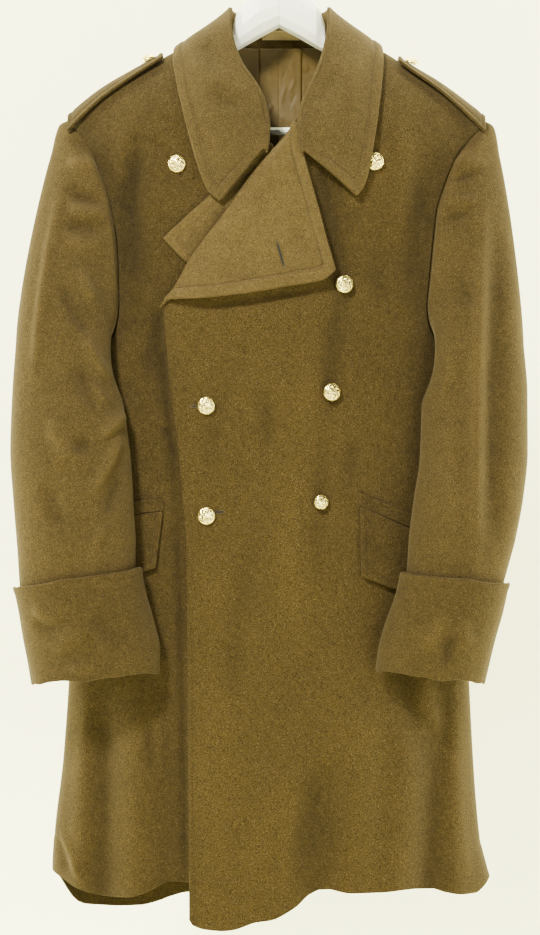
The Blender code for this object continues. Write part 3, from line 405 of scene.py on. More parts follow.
def clothShell(name, grid, thickness, look, slot, closed=False, facing=None, rise=None, tone=None,
               rimSteps=5):
    # a wall round a grid of points, with its cut edges rounded; each point also carries painted shade, taken
    # from its rise unless other painted light is given, so the wool is painted darker in hollows and lighter
    # on ridges
    ways = faceWays(grid, closed, facing)
    tone = rise if tone is None else tone
    tone = np.broadcast_to(0.0 if tone is None else tone, grid.shape[:2]).ravel() / sewing["paintedShadeReach"]
    if rise is not None:
        grid = grid + ways * np.asarray(rise)[..., None]
        ways = faceWays(grid, closed, facing)
    rows, cols = grid.shape[:2]
    half = thickness / 2
    points = [(grid + ways * half).reshape(-1, 3), (grid - ways * half).reshape(-1, 3)]
    tones = [tone, tone]
    total = rows * cols
    faces = []
    for r in range(rows - 1):
        for c in range(cols if closed else cols - 1):
            a = r * cols + c
            b = r * cols + (c + 1) % cols
            faces.append((a, b, b + cols, a + cols))
            faces.append((a + total, a + cols + total, b + cols + total, b + total))
    number = np.arange(total).reshape(rows, cols)
    if closed:
        loops = [number[0], number[-1, ::-1]]
    else:
        loops = [np.concatenate([number[0], number[1:, -1], number[-1, -2::-1], number[-2:0:-1, 0]])]
    flat = grid.reshape(-1, 3)
    count = 2 * total
    for loop in loops:
        row = np.clip(loop // cols, 1, rows - 2)
        col = loop % cols if closed else np.clip(loop % cols, 1, cols - 2)
        way = ways.reshape(-1, 3)[loop]
        out = flat[loop] - flat[row * cols + col]
        out = unit(out - way * (out * way).sum(axis=1, keepdims=True))
        rings = [loop]
        for k in range(1, rimSteps):
            angle = math.pi * k / rimSteps
            points.append(flat[loop] + out * half * math.sin(angle) + way * half * math.cos(angle))
            tones.append(tone[loop])
            rings.append(np.arange(count, count + len(loop)))
            count += len(loop)
        rings.append(loop + total)
        for first, second in zip(rings[:-1], rings[1:]):
            for k in range(len(loop)):
                n = (k + 1) % len(loop)
                faces.append((int(first[n]), int(first[k]), int(second[k]), int(second[n])))
    points = np.concatenate(points)
    piece = newMesh(name, points, rightWayOut(points, faces), look)
    # painted shade: each point's rise or given painted light, scaled to -1..1, which the wool turns into
    # darker hollows and lighter ridges
    relief = piece.data.attributes.new("relief", "FLOAT", "POINT")
    relief.data.foreach_set("value", np.clip(np.concatenate(tones), -1, 1).astype(np.float32))
    return piece, grid + ways * half, ways


def cutSize(grid, closed=False):
    # flat width, length and area of what was cut, in metres
    whole = np.concatenate([grid, grid[:, :1]], axis=1) if closed else grid
    width = np.linalg.norm(np.diff(whole, axis=1), axis=2).sum(axis=1).max() * mm
    length = np.linalg.norm(np.diff(whole, axis=0), axis=2).sum(axis=0).max() * mm
    crossed = np.cross(whole[1:, 1:] - whole[:-1, :-1], whole[1:, :-1] - whole[:-1, 1:])
    area = np.linalg.norm(crossed, axis=2).sum() / 2 * mm * mm
    return (max(width, area / length), length), area


def clothPiece(name, grid, restsOn, look, thickness, slot="wool", closed=False, **shell):
    # a shell in the place of its solid, which is hidden; the flat size and area of what was cut are worked
    # out
    piece, outer, ways = clothShell(f"{name}_cloth", grid, thickness, look, slot, closed, **shell)
    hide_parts(name)
    flat, area = cutSize(grid, closed)
    return outer, ways


# one output socket of a shader node: arithmetic on it adds Math nodes
class Wire:
    def __init__(self, look, socket):
        self.look = look
        self.socket = socket

    def maths(self, operation, first, second):
        return self.look.node("ShaderNodeMath", {"operation": operation}, [first, second])

    def __add__(self, other):
        return self.maths("ADD", self, other)

    __radd__ = __add__

    def __sub__(self, other):
        return self.maths("SUBTRACT", self, other)

    def __rsub__(self, other):
        return self.maths("SUBTRACT", other, self)

    def __mul__(self, other):
        return self.maths("MULTIPLY", self, other)

    __rmul__ = __mul__


class Look:
    # a material whose constants go straight onto the Principled shader's sockets
    def __init__(self, name, **constants):
        self.material = bpy.data.materials.new(name)
        self.material.use_nodes = True
        self.tree = self.material.node_tree
        self.shader = self.tree.nodes["Principled BSDF"]
        for socket, value in constants.items():
            self.shader.inputs[socket.replace("_", " ")].default_value = value

    def node(self, kind, settings=None, values=None, output=0):
        made = self.tree.nodes.new(kind)
        for key, value in (settings or {}).items():
            if key == "stops":
                ramp = made.color_ramp
                while len(ramp.elements) < len(value):
                    ramp.elements.new(0.5)
                for element, (place, colour) in zip(ramp.elements, value):
                    element.position = place
                    element.color = colour if len(colour) == 4 else (*colour, 1)
            else:
                setattr(made, key, value)
        pairs = values.items() if isinstance(values, dict) else enumerate(values or [])
        for key, value in pairs:
            if isinstance(value, Wire):
                self.tree.links.new(value.socket, made.inputs[key])
            else:
                made.inputs[key].default_value = value
        return Wire(self, made.outputs[output])

    def place(self, stretch=(1, 1, 1)):
        spot = self.node("ShaderNodeTexCoord", output=3)
        if stretch == (1, 1, 1):
            return spot
        return self.node("ShaderNodeMapping", {}, {"Vector": spot, "Scale": stretch})

    def noise(self, spot, scale, detail=3.0, rough=0.5, twist=0.0):
        return self.node("ShaderNodeTexNoise", {}, {"Vector": spot, "Scale": scale, "Detail": detail,
                                                    "Roughness": rough, "Distortion": twist})

    def between(self, value, low, high, toLow=0.0, toHigh=1.0):
        return self.node("ShaderNodeMapRange", {"interpolation_type": "SMOOTHSTEP"},
                         [value, low, high, toLow, toHigh])

    def blend(self, share, first, second, way="MIX"):
        values = {0: share, 6: first if isinstance(first, Wire) else (*first, 1),
                  7: second if isinstance(second, Wire) else (*second, 1)}
        return self.node("ShaderNodeMix", {"data_type": "RGBA", "blend_type": way}, values, output=2)

    def bump(self, height, strength, distance):
        return self.node("ShaderNodeBump", {}, {"Height": height, "Strength": strength, "Distance": distance})

    def feed(self, **links):
        for socket, wire in links.items():
            self.tree.links.new(wire.socket, self.shader.inputs[socket.replace("_", " ")])
        return self.material


woolLook = {
    "dark": (0.0128, 0.0079, 0.0014),
    "middle": (0.0350, 0.0222, 0.0047),
    "pale": (0.116, 0.087, 0.040),
    "fibreScale": 720.0,
    "fleckScale": 1050.0,
    "fleckShare": 0.60,
    "cloudScale": 15.0,
    "cloudTone": 0.45,
    "patchScale": 130.0,
    "patchTone": 0.65,
    # strength of the painted shade: hollows painted darker, ridges lighter
    "paintedShadeGain": 0.34,
    "evenTone": 0.93,
    "fibreDepth": 0.0009,
    "sheen": 0.08,
}


def makeWool(name, tone=1.0, litPaleShare=0.0):
    # felted wool: dark and middle fibres, pale flecks, soft patches, and painted shade from each point's
    # stored value: hollows darker than ridges
    wool = Look(name, Roughness=0.95, Sheen_Weight=woolLook["sheen"], Sheen_Roughness=0.5,
                Sheen_Tint=(0.92, 0.73, 0.42, 1), Specular_IOR_Level=0.12)
    spot = wool.place()
    fibre = wool.noise(spot, woolLook["fibreScale"], 3.0, 0.65, 0.25)
    fleck = wool.noise(spot, woolLook["fleckScale"], 2.0, 0.6)
    cloud = wool.noise(spot, woolLook["cloudScale"], 4.0, 0.6)
    patch = wool.noise(spot, woolLook["patchScale"], 3.0, 0.65)
    # a factor above 1 and a share of pale fibre make a lighter copy of the wool, painting the stronger light
    # some parts catch
    dark, middle, pale = [tuple((c * (1 - litPaleShare) + woolLook["pale"][i] * litPaleShare) * tone
                                for i, c in enumerate(woolLook[key])) for key in ("dark", "middle", "pale")]
    heather = wool.blend(wool.between(fibre, 0.36, 0.60), dark, middle)
    heather = wool.blend(wool.between(fleck, 0.54, 0.74) * woolLook["fleckShare"], heather, pale)
    # painted shade and light stored on each point darken hollows and lighten ridges
    relief = wool.node("ShaderNodeAttribute", {"attribute_name": "relief"}, output=2)
    mottle = (cloud - 0.5) * woolLook["cloudTone"] + (patch - 0.5) * woolLook["patchTone"]
    mottle = mottle + relief * woolLook["paintedShadeGain"] + woolLook["evenTone"]
    shade = wool.node("ShaderNodeCombineColor", {}, [mottle, mottle, mottle])
    colour = wool.blend(1.0, heather, shade, "MULTIPLY")
    height = fibre * 0.7 + fleck * 0.3 + patch * 0.8
    return wool.feed(Base_Color=colour, Normal=wool.bump(height, 0.8, woolLook["fibreDepth"]))


def makePlain(name, colour, roughness, metallic=0.0, scale=60.0, deep=0.94, depth=0.0004):
    # one colour, a little darker and glossier in soft clouds
    plain = Look(name, Metallic=metallic)
    cloud = plain.noise(plain.place(), scale, 3.0, 0.6)
    shade = plain.blend(plain.between(cloud, 0.35, 0.62), tuple(c * deep for c in colour), colour)
    rough = plain.between(cloud, 0.3, 0.7, roughness * 1.25, roughness * 0.85)
    return plain.feed(Base_Color=shade, Roughness=rough, Normal=plain.bump(cloud, 0.12, depth))


def makeSateen(name, colour):
    # close satin weave: fine ribs across, soft mottling
    sateen = Look(name, Sheen_Weight=0.08, Sheen_Roughness=0.3, Sheen_Tint=(0.95, 0.85, 0.62, 1),
                  Specular_IOR_Level=0.3)
    spot = sateen.place()
    weave = sateen.noise(sateen.place((1, 1, 6)), 420.0, 2.0, 0.6)
    cloud = sateen.noise(spot, 55.0, 4.0, 0.6)
    shade = sateen.blend(sateen.between(cloud, 0.3, 0.7), tuple(c * 0.80 for c in colour), colour)
    shade = sateen.blend(sateen.between(weave, 0.35, 0.65) * 0.35, shade, tuple(c * 1.25 for c in colour))
    height = weave * 0.5 + cloud * 1.5
    return sateen.feed(Base_Color=shade, Roughness=sateen.between(cloud, 0.3, 0.7, 0.62, 0.50),
                       Normal=sateen.bump(height, 0.35, 0.0008))


def makeMoulding(name, colour, seamX):
    # glossy moulded plastic with a fine parting line down its middle
    plastic = Look(name, Coat_Weight=0.3, Coat_Roughness=0.15)
    spot = plastic.place()
    x = plastic.node("ShaderNodeSeparateXYZ", {}, [spot])
    away = plastic.node("ShaderNodeMath", {"operation": "ABSOLUTE"}, [x - seamX])
    seam = 1.0 - plastic.between(away, 0.0002, 0.0007)
    cloud = plastic.noise(spot, 40.0, 3.0, 0.5)
    shade = plastic.blend(cloud, tuple(c * 0.97 for c in colour), colour)
    shade = plastic.blend(seam * 0.45, shade, tuple(c * 0.55 for c in colour))
    return plastic.feed(Base_Color=shade, Roughness=plastic.between(cloud, 0.3, 0.7, 0.38, 0.26),
                        Normal=plastic.bump(cloud * 0.2 - seam, 0.3, 0.0003))


print("Wool, lining and metal looks")
bodyWool = makeWool("greatcoat_wool")
# the sleeve, cuff, collar and facing wools are the coat's one wool painted lighter, standing in for the light
# falling on those parts
sleeveWool = makeWool("sleeve_wool", 1.16, 0.04)
cuffWool = makeWool("cuff_wool", 1.07, 0.02)
collarWool = makeWool("collar_wool", 1.22, 0.07)
facingWool = makeWool("facing_wool", 1.62, 0.08)
sateen = makeSateen("khaki_sateen", (0.080, 0.051, 0.010))
tape = makeSateen("neck_tape", (0.26, 0.19, 0.085))
thread = makePlain("khaki_thread", (0.072, 0.049, 0.015), 0.85, scale=900.0, deep=0.8)
greenThread = makePlain("green_thread", (0.022, 0.022, 0.007), 0.7, scale=900.0, deep=0.6)
# near-black, painting the shadow inside a buttonhole's cut
slitShadow = makePlain("slit_shadow", (0.006, 0.005, 0.003), 0.95, scale=300.0)
gilt = makePlain("pale_gilt", (0.97, 0.80, 0.24), 0.24, 1.0, scale=260.0, deep=0.5, depth=0.0003)
whitePlastic = makeMoulding("white_moulding", (0.97, 0.97, 0.86), 0.0002)
hookSteel = makePlain("plated_wire", (0.62, 0.62, 0.60), 0.28, 1.0)

frontPieces = {
    "columns": (370, 4.0, 1.1, 20),  # width, step, finer step at the edges, its reach
    "sideColumns": (0.1, 0.3, 0.6),
    "rows": 262,
    "footRows": (4, 12, 0.0013),  # rows that give way to finer ones, their number and step
    "thickness": 2.4,
    "edgeLeft": [  # down, x
        (139, 66), (170, 60), (205, 46), (240, 25), (262, 11), (288, -11), (318, -36), (366, -70), (390, -89),
        (416, -107), (444, -122), (462, -134), (474, -138), (492, -136), (546, -131), (618, -122),
        (702, -114), (750, -110), (822, -109), (1216, -106),
    ],
    "edgeRight": [
        (139, -66), (170, -61), (205, -47), (240, -28), (278, -10), (320, 2), (380, 22), (430, 56), (475, 96),
        (500, 104), (1165, 104),
    ],
    "hemLeft": [  # x, down
        (-106, 1202), (-102, 1208), (-88, 1212.5), (-68, 1214), (-54, 1212.5), (-28, 1203.5), (-8, 1200.5),
        (8, 1193), (22, 1184), (35, 1172), (55, 1164.5), (85, 1169.5), (121, 1169), (160, 1166), (180, 1166),
        (200, 1171), (220, 1174), (236, 1173.5), (247, 1166), (253.7, 1157),
    ],
    "hemRight": [
        (-271.5, 1148), (-251, 1157), (-237, 1165), (-217, 1172), (-191, 1176), (-167, 1176), (-148, 1171),
        (-132, 1163.5), (-116, 1156.5), (-60, 1160), (104, 1163),
    ],
    "edgeRow": 9.0,
    "creaseGain": 1.9,
    # a real hollow beside and under the lapel, which is also painted darker as shade
    "lapelHollowAndShade": [  # columns as in "creases"
        (40, 262, 84, 470, 0, 17, -9.0), (64, 300, 100, 380, 0, 18, -3.5), (-110, 474, 66, 446, 0, 9, -3.5),
    ],
    # painted shade: each front darkened within reach of its armhole edge, from the first height down to the
    # second
    "armholeShade": {"right": 4.0, "left": 1.6, "reach": 46.0, "from": 470.0, "gone": 620.0},
    # share of the big folds' shift that is painted as shade and light on the fronts
    "foldShadeShare": 0.5,
    "rowFrom": {"left": 0.325, "right": 0.345},  # share of the edge's length where the lapel ends
    "hemRow": (42.0, 0.4, 2.5, 6.0),  # height, depth of the groove, its width, fade of the hem's fullness
    "creases": [  # x, down, x, down, bow, width, rise
        (80, 440, 60, 615, 3, 14, -3.2), (56, 600, 44, 800, 0, 13, -2.0), (-56, 530, -92, 690, 0, 11, -1.4),
        (-40, 500, -50, 560, 0, 9, -1.2), (142, 830, 170, 1020, 4, 13, -2.2),
        (166, 810, 190, 1010, 4, 13, 1.6), (176, 950, 200, 990, 0, 9, 1.0),
        (-158, 960, -150, 1030, 0, 6, -2.6), (-148, 950, -142, 1040, 0, 6, 1.8),
        (52, 1010, 26, 1140, 0, 14, -1.8), (112, 420, 156, 500, 2, 12, -1.4),
        (130, 430, 170, 520, 0, 12, 1.2), (-18, 560, -10, 640, 0, 8, -2.2),
        (-150, 606, -128, 628, 0, 3.5, -2.2), (-152, 600, -132, 620, 0, 4, 1.4),
        (-264, 1098, -246, 1132, 0, 4, 2.4), (-248, 1128, -238, 1158, 0, 4, 2.4),
        (-272, 1106, -252, 1150, 0, 6, -2.2), (-170, 260, -176, 440, 5, 12, -3.4),
        (-184, 250, -190, 330, 0, 9, 1.4), (146, 240, 146, 400, -3, 15, 1.6),
        (172, 290, 163, 460, 0, 13, -1.4), (-30, 740, -60, 960, 6, 14, -2.0), (10, 700, 26, 900, 0, 16, 1.8),
        (96, 620, 84, 690, 2, 8, -2.0), (-140, 470, -160, 560, 2, 9, -2.0),
        (-148, 470, -122, 720, 0, 6, -2.6), (-124, 680, -115, 1000, 0, 5.5, -2.4),
        (-116, 930, -113, 1190, 0, 5.5, -2.2),
    ],
}


topRows = (0, 0.0005, 0.001, 0.0016, 0.0024)


def panelPlaces(form):
    # shares across and down a panel, closer together where its edges are rounded
    us = np.concatenate([places(*form["columns"]), 1 - np.array(form["sideColumns"]) / form["columns"][0]])
    left, count, step = form["footRows"]
    main = np.linspace(0.0035, 1, form["rows"])[:-left]
    return np.sort(us), np.concatenate([topRows, main, 1 - np.arange(count - 1, -1, -1) * step])


def panelGrid(armhole, column, sideEdge, innerAt, topAt, footAt, sideFoot, us, vs):
    # x and down of a panel: filled in against a softened armhole, then drawn out to the real one
    top = armhole[0][0]
    across = tableCurve(armhole, column)

    def outerAt(v):
        down = top + (sideFoot - top) * np.asarray(v, float)
        return np.where(down < coatForm["underarm"], across(down), sideEdge(down))

    def softAt(v):
        down = top + (sideFoot - top) * np.asarray(v, float)
        share = fade(down, 400, 640)
        return toTurn(across(np.minimum(down, 480.0)) * (1 - share) + sideEdge(down) * share, down)

    x, down = fromTurn(fillEdges(topAt, footAt, innerAt, softAt, us, vs))
    reach = outerAt(vs) - fromTurn(softAt(vs))[0]
    return x + reach[:, None] * fade(us, 0.5, 1.0)[None], down


def makeFronts():
    form = frontPieces
    us, vs = panelPlaces(form)
    shade = form["armholeShade"]
    hemRow, hemDeep, hemWide, hemFade = form["hemRow"]
    for side, armhole, sideEdge, inner, hem in (
        ("right", coatForm["armholeRight"], bodyLeft, form["edgeRight"], form["hemRight"][::-1]),
        ("left", coatForm["armholeLeft"], bodyRight, form["edgeLeft"], form["hemLeft"]),
    ):
        hemCurve = tableCurve(sorted(hem), 1)
        innerX = tableCurve(inner, 1)

        def innerAt(v):
            down = inner[0][0] + (hem[0][1] - inner[0][0]) * np.asarray(v, float)
            return toTurn(innerX(down), down)

        def topAt(u):
            x = inner[0][1] + (armhole[0][1] - inner[0][1]) * np.asarray(u, float)
            return toTurn(x, ridge(x))

        def footAt(u):
            x = hem[0][0] + (hem[-1][0] - hem[0][0]) * np.asarray(u, float)
            return toTurn(x, hemCurve(x))

        x, down = panelGrid(armhole, 1, sideEdge, innerAt, topAt, footAt, hem[-1][1], us, vs)
        sideFade = insideSeams(x, down)
        shift = foldRise(x, down, bodyFolds["front"]) * sideFade
        rise = creaseRise(x, down, form["creases"]) * sideFade * form["creaseGain"]
        if side == "left":
            shift = shift + frontLead(x, down)
            rise = rise + creaseRise(x, down, form["lapelHollowAndShade"])
        grid = np.stack([x, bodyDepth(x, down, -1) - coatForm["seam"] - shift, down], axis=-1)
        distance = edgeDistance(grid)
        # painted shade: a band beside the armhole is darkened, and creases, folds and the lapel hollow are
        # painted darker in hollows and lighter on ridges
        armholeShadeMask = (1 - fade(distance["end"], 2, shade["reach"])) * fade(-down, -shade["gone"], -shade["from"])
        tone = rise + shift * form["foldShadeShare"] - shade[side] * armholeShadeMask
        hemGap = distance["foot"] - hemRow
        rise = rise - hemDeep * np.exp(-((hemGap / hemWide) ** 2)) + hemDeep * (1 - fade(hemGap, -hemFade, 0))
        edgeFrom = {"start": (form["rowFrom"][side], 1)}
        rise = rise + pressedEdge(grid, {"start": form["edgeRow"]}, edgeFrom, band=2.4, deep=0.4)
        surfaces[f"front_{side}"] = clothPiece(f"front_{side}", grid, ["hanger_body"], bodyWool,
                                               form["thickness"], facing=(0, -1, 0), rise=rise, tone=tone)


print("Fronts")
makeFronts()

backPieces = {
    "columns": (260, 6.0, 1.5, 9),
    "sideColumns": (0.1, 0.3, 0.7),
    "rows": 176,
    "footRows": (3, 10, 0.0014),
    "thickness": 2.4,
    "neckHalf": 66.0,
    "neckDown": 161.0,
    "middleGap": 0.2,
    "hemRight": [
        (-271, 1150), (-262, 1165), (-250, 1184), (-240, 1192), (-222, 1195), (-196, 1197), (-170, 1196),
        (-148, 1191), (-131, 1185), (-110, 1181), (0, 1181),
    ],
    "hemLeft": [(0, 1181), (110, 1177), (215, 1176), (236, 1172), (252.5, 1156)],
    "seamDip": (-1.1, 2.2),  # rise, width
    "seamBand": (0.35, 9.0, 2.0),  # rise, half width, fade
}


def makeBacks():
    form = backPieces
    us, vs = panelPlaces(form)
    for side, way, armhole, sideEdge, hem in (
        ("right", -1.0, coatForm["armholeRight"], bodyLeft, form["hemRight"][::-1]),
        ("left", 1.0, coatForm["armholeLeft"], bodyRight, form["hemLeft"]),
    ):
        hemCurve = tableCurve(sorted(hem), 1)
        start = way * form["middleGap"]

        def innerAt(v):
            down = form["neckDown"] + (hem[0][1] - form["neckDown"]) * np.asarray(v, float)
            return toTurn(start + 0 * down, down)

        def topAt(u):
            x = start + (armhole[0][1] - start) * np.asarray(u, float)
            half = form["neckHalf"]
            neck = form["neckDown"] - (form["neckDown"] - ridge(half)) * (x / half) ** 2
            return toTurn(x, np.where(np.abs(x) < half, neck, ridge(x)))

        def footAt(u):
            x = start + (sideEdge(hem[-1][1]) - start) * np.asarray(u, float)
            return toTurn(x, hemCurve(x))

        x, down = panelGrid(armhole, 2, sideEdge, innerAt, topAt, footAt, hem[-1][1], us, vs)
        shift = foldRise(x, down, bodyFolds["back"]) * insideSeams(x, down)
        grid = np.stack([x, bodyDepth(x, down, 1) + coatForm["seam"] + shift, down], axis=-1)
        rise, wide = form["seamDip"]
        dip = rise * np.exp(-((np.abs(x) / wide) ** 2))
        rise, wide, gone = form["seamBand"]
        dip = dip + rise * (1 - fade(np.abs(x), wide - gone, wide))
        clothPiece(f"back_{side}", grid, ["hanger_body"], bodyWool, form["thickness"], facing=(0, 1, 0),
                   rise=dip)


print("Backs")
makeBacks()

sleevePieces = {
    "around": 96,
    "rows": (72, 60, 24),  # in the head and upper arm, the lower arm, the part inside the cuff
    "rowPower": 1.25,
    "seat": (2.4, 1.2),  # how far the head stands off the armhole, how much its underarm is lifted
    "leave": (44, 6, 26, 34, 16),  # way out of the armhole: x, x at the top, y, down, down at the top
    "arrive": (6, 0.75),  # way into the arm: x at the top, share of the length
    "clear": (3.8, 5.2, 40, 16),  # gap to the coat at the underarm, added below it, over this height, from
    "squareness": 0.92,
    "halvings": 26,
    "smoothing": (5, 26, 9),  # passes, points that these hold for, passes between two checks of the gap
    "thickness": 2.3,
    "cuffEnd": 0.985,
    "insideCuff": (6.4, 5.6, 4.4, 3.1),
    "creaseRows": (9, 128, 136),  # full from the first to the second row, gone at the third
    "creaseGain": {"right": 3.9, "left": 3.4},
    # share of each sleeve point's rise that is painted as shade and light
    "creaseShadeShare": 0.55,
    "head": (2.8, 10.0, 48.0, -1.6, 3.0),  # rise, reached at, gone by, dip at the seam, its width
    "headFade": (430.0, 500.0),
    "ringsRight": [  # down outer, down inner, x outer, x inner, middle y, half depth, clearance
        (512, 592, -315, -187, -44, 45, 9), (575, 618, -319, -183, -52, 46, 10),
        (640, 656, -321, -178, -58, 46, 12), (700, 704, -317, -175, -65, 45, 14),
        (758, 750, -312, -172, -69, 45, 15),
    ],
    "ringsLeft": [
        (516, 590, 293, 172, -44, 45, 9), (575, 618, 297, 171, -52, 46, 10),
        (640, 656, 297, 169, -58, 46, 12), (700, 700, 291, 162, -65, 45, 14),
        (752, 746, 281, 156, -69, 45, 15),
    ],
    "cuffRight": [
        (808, 784, -315, -166, -72, 50, 10.5), (836, 814, -309, -160, -73, 50, 10.5),
        (866, 846, -304, -151, -73, 50, 10.5), (896, 878, -298, -144, -73, 50, 10.5),
        (919, 904, -294, -144, -73, 49, 10.5),
    ],
    "cuffLeft": [
        (803, 790, 273, 147, -72, 50, 10.5), (834, 820, 266, 139, -73, 50, 10.5),
        (866, 850, 257, 128, -73, 50, 10.5), (898, 880, 249, 120, -73, 50, 10.5),
        (918, 902, 244, 117, -73, 49, 10.5),
    ],
    "creasesRight": [
        (-254, 296, -216, 300, 2, 6, 1.8), (-256, 330, -208, 342, 3, 7, -1.8),
        (-254, 352, -206, 358, 3, 7, 1.9), (-262, 374, -206, 376, -2, 6.5, -1.8),
        (-258, 392, -204, 396, 2, 7, 1.5), (-250, 268, -226, 280, 1, 5.5, -1.3),
        (-240, 420, -216, 470, 4, 7, 1.8), (-262, 440, -226, 500, 4, 7, -1.6),
        (-232, 500, -204, 560, 4, 7, 1.8), (-250, 540, -214, 600, -5, 8, -1.6),
        (-226, 560, -206, 590, 0, 6, 2.2), (-232, 640, -184, 596, 3, 7, 2.4),
        (-246, 640, -206, 622, 3, 8, -2.4), (-228, 700, -190, 622, 4, 6, 2.2),
        (-206, 720, -188, 670, 2, 7, -1.6), (-270, 600, -240, 660, 5, 9, 1.4),
        (-276, 680, -252, 740, 3, 8, -1.4), (-226, 760, -206, 730, 2, 5, 1.6),
        (-262, 330, -292, 560, 4, 5, 1.4),
    ],
    "creasesLeft": [
        (204, 292, 244, 300, -2, 4, 2.0), (206, 316, 240, 306, 2, 4.5, -2.0), (200, 336, 238, 344, 3, 5, 2.2),
        (198, 362, 236, 352, 2, 4.5, -1.8), (198, 384, 232, 400, -3, 6, 1.4),
        (212, 430, 236, 470, 4, 8, -1.4), (246, 340, 232, 790, 3, 7, 2.6), (262, 360, 252, 790, 0, 12, -1.8),
        (202, 480, 206, 780, 2, 10, 1.2), (214, 560, 196, 620, 3, 8, -1.2), (226, 760, 250, 800, 2, 6, -1.6),
    ],
    "creasesBack": [
        (210, 330, 246, 350, 3, 9, 0.8), (214, 380, 260, 370, 3, 9, -0.8), (220, 560, 280, 600, 5, 12, 0.9),
        (216, 610, 276, 640, 5, 12, -0.9), (222, 660, 270, 670, 4, 12, 0.8),
    ],
}


def outsideBody(x, y, down, clear):
    # moves points straight out from the coat's middle until they are clear of it
    middle, half = bodySpan(down)
    half = half + clear
    full = np.where(y < 0, bodyFront(down), bodyBack(down)) + clear
    a = x - middle

    def inside(scale):
        return np.abs(y * scale) < full * np.clip(1 - (a * scale / half) ** 2, 0, 1) ** coatForm["flatness"]

    low = np.ones(np.shape(x))
    high = np.full(np.shape(x), 3.0)
    for _ in range(sleevePieces["halvings"]):
        mid = (low + high) / 2
        within = inside(mid)
        low = np.where(within, mid, low)
        high = np.where(within, high, mid)
    scale = np.where(inside(np.ones(np.shape(x))), high, 1.0)
    return middle + a * scale, y * scale


def armholeLoop(table, turn):
    top = table[0][0]
    foot = table[-1][0]
    down = (top + foot) / 2 - (foot - top) / 2 * np.cos(turn)
    inFront = np.sin(turn) >= 0
    x = np.where(inFront, tableCurve(table, 1)(down), tableCurve(table, 2)(down))
    return np.stack([x, np.where(inFront, bodyDepth(x, down, -1), bodyDepth(x, down, 1)), down], axis=-1)


def ringAt(rows, share, turn):
    # one ring round the arm, pressed flat where the coat is in its way
    along = np.linspace(0, 1, len(rows))
    outer, inner, xOuter, xInner, middleY, halfY, clear = (
        float(smoothCurve(along, column)(share)) for column in zip(*rows)
    )
    middle = (xOuter + xInner) / 2
    half = (xOuter - xInner) / 2
    c = np.cos(turn)
    s = np.sin(turn)
    x = middle + half * np.sign(c) * np.abs(c) ** sleevePieces["squareness"]
    y = middleY - halfY * np.sign(s) * np.abs(s) ** sleevePieces["squareness"]
    down = inner + (outer - inner) * (c + 1) / 2
    x, y = outsideBody(x, y, down, clear)
    passes, forPoints, between = sleevePieces["smoothing"]
    for i in range(1, passes * (len(turn) // forPoints) ** 2 + 1):
        x = (np.roll(x, 1) + 2 * x + np.roll(x, -1)) / 4
        y = (np.roll(y, 1) + 2 * y + np.roll(y, -1)) / 4
        if i % between == 0:
            x, y = outsideBody(x, y, down, clear)
    x = (x - (x.max() + x.min()) / 2) * 2 * abs(half) / (x.max() - x.min()) + middle
    x, y = outsideBody(x, y, down, clear)
    return np.stack([x, y, down], axis=-1)


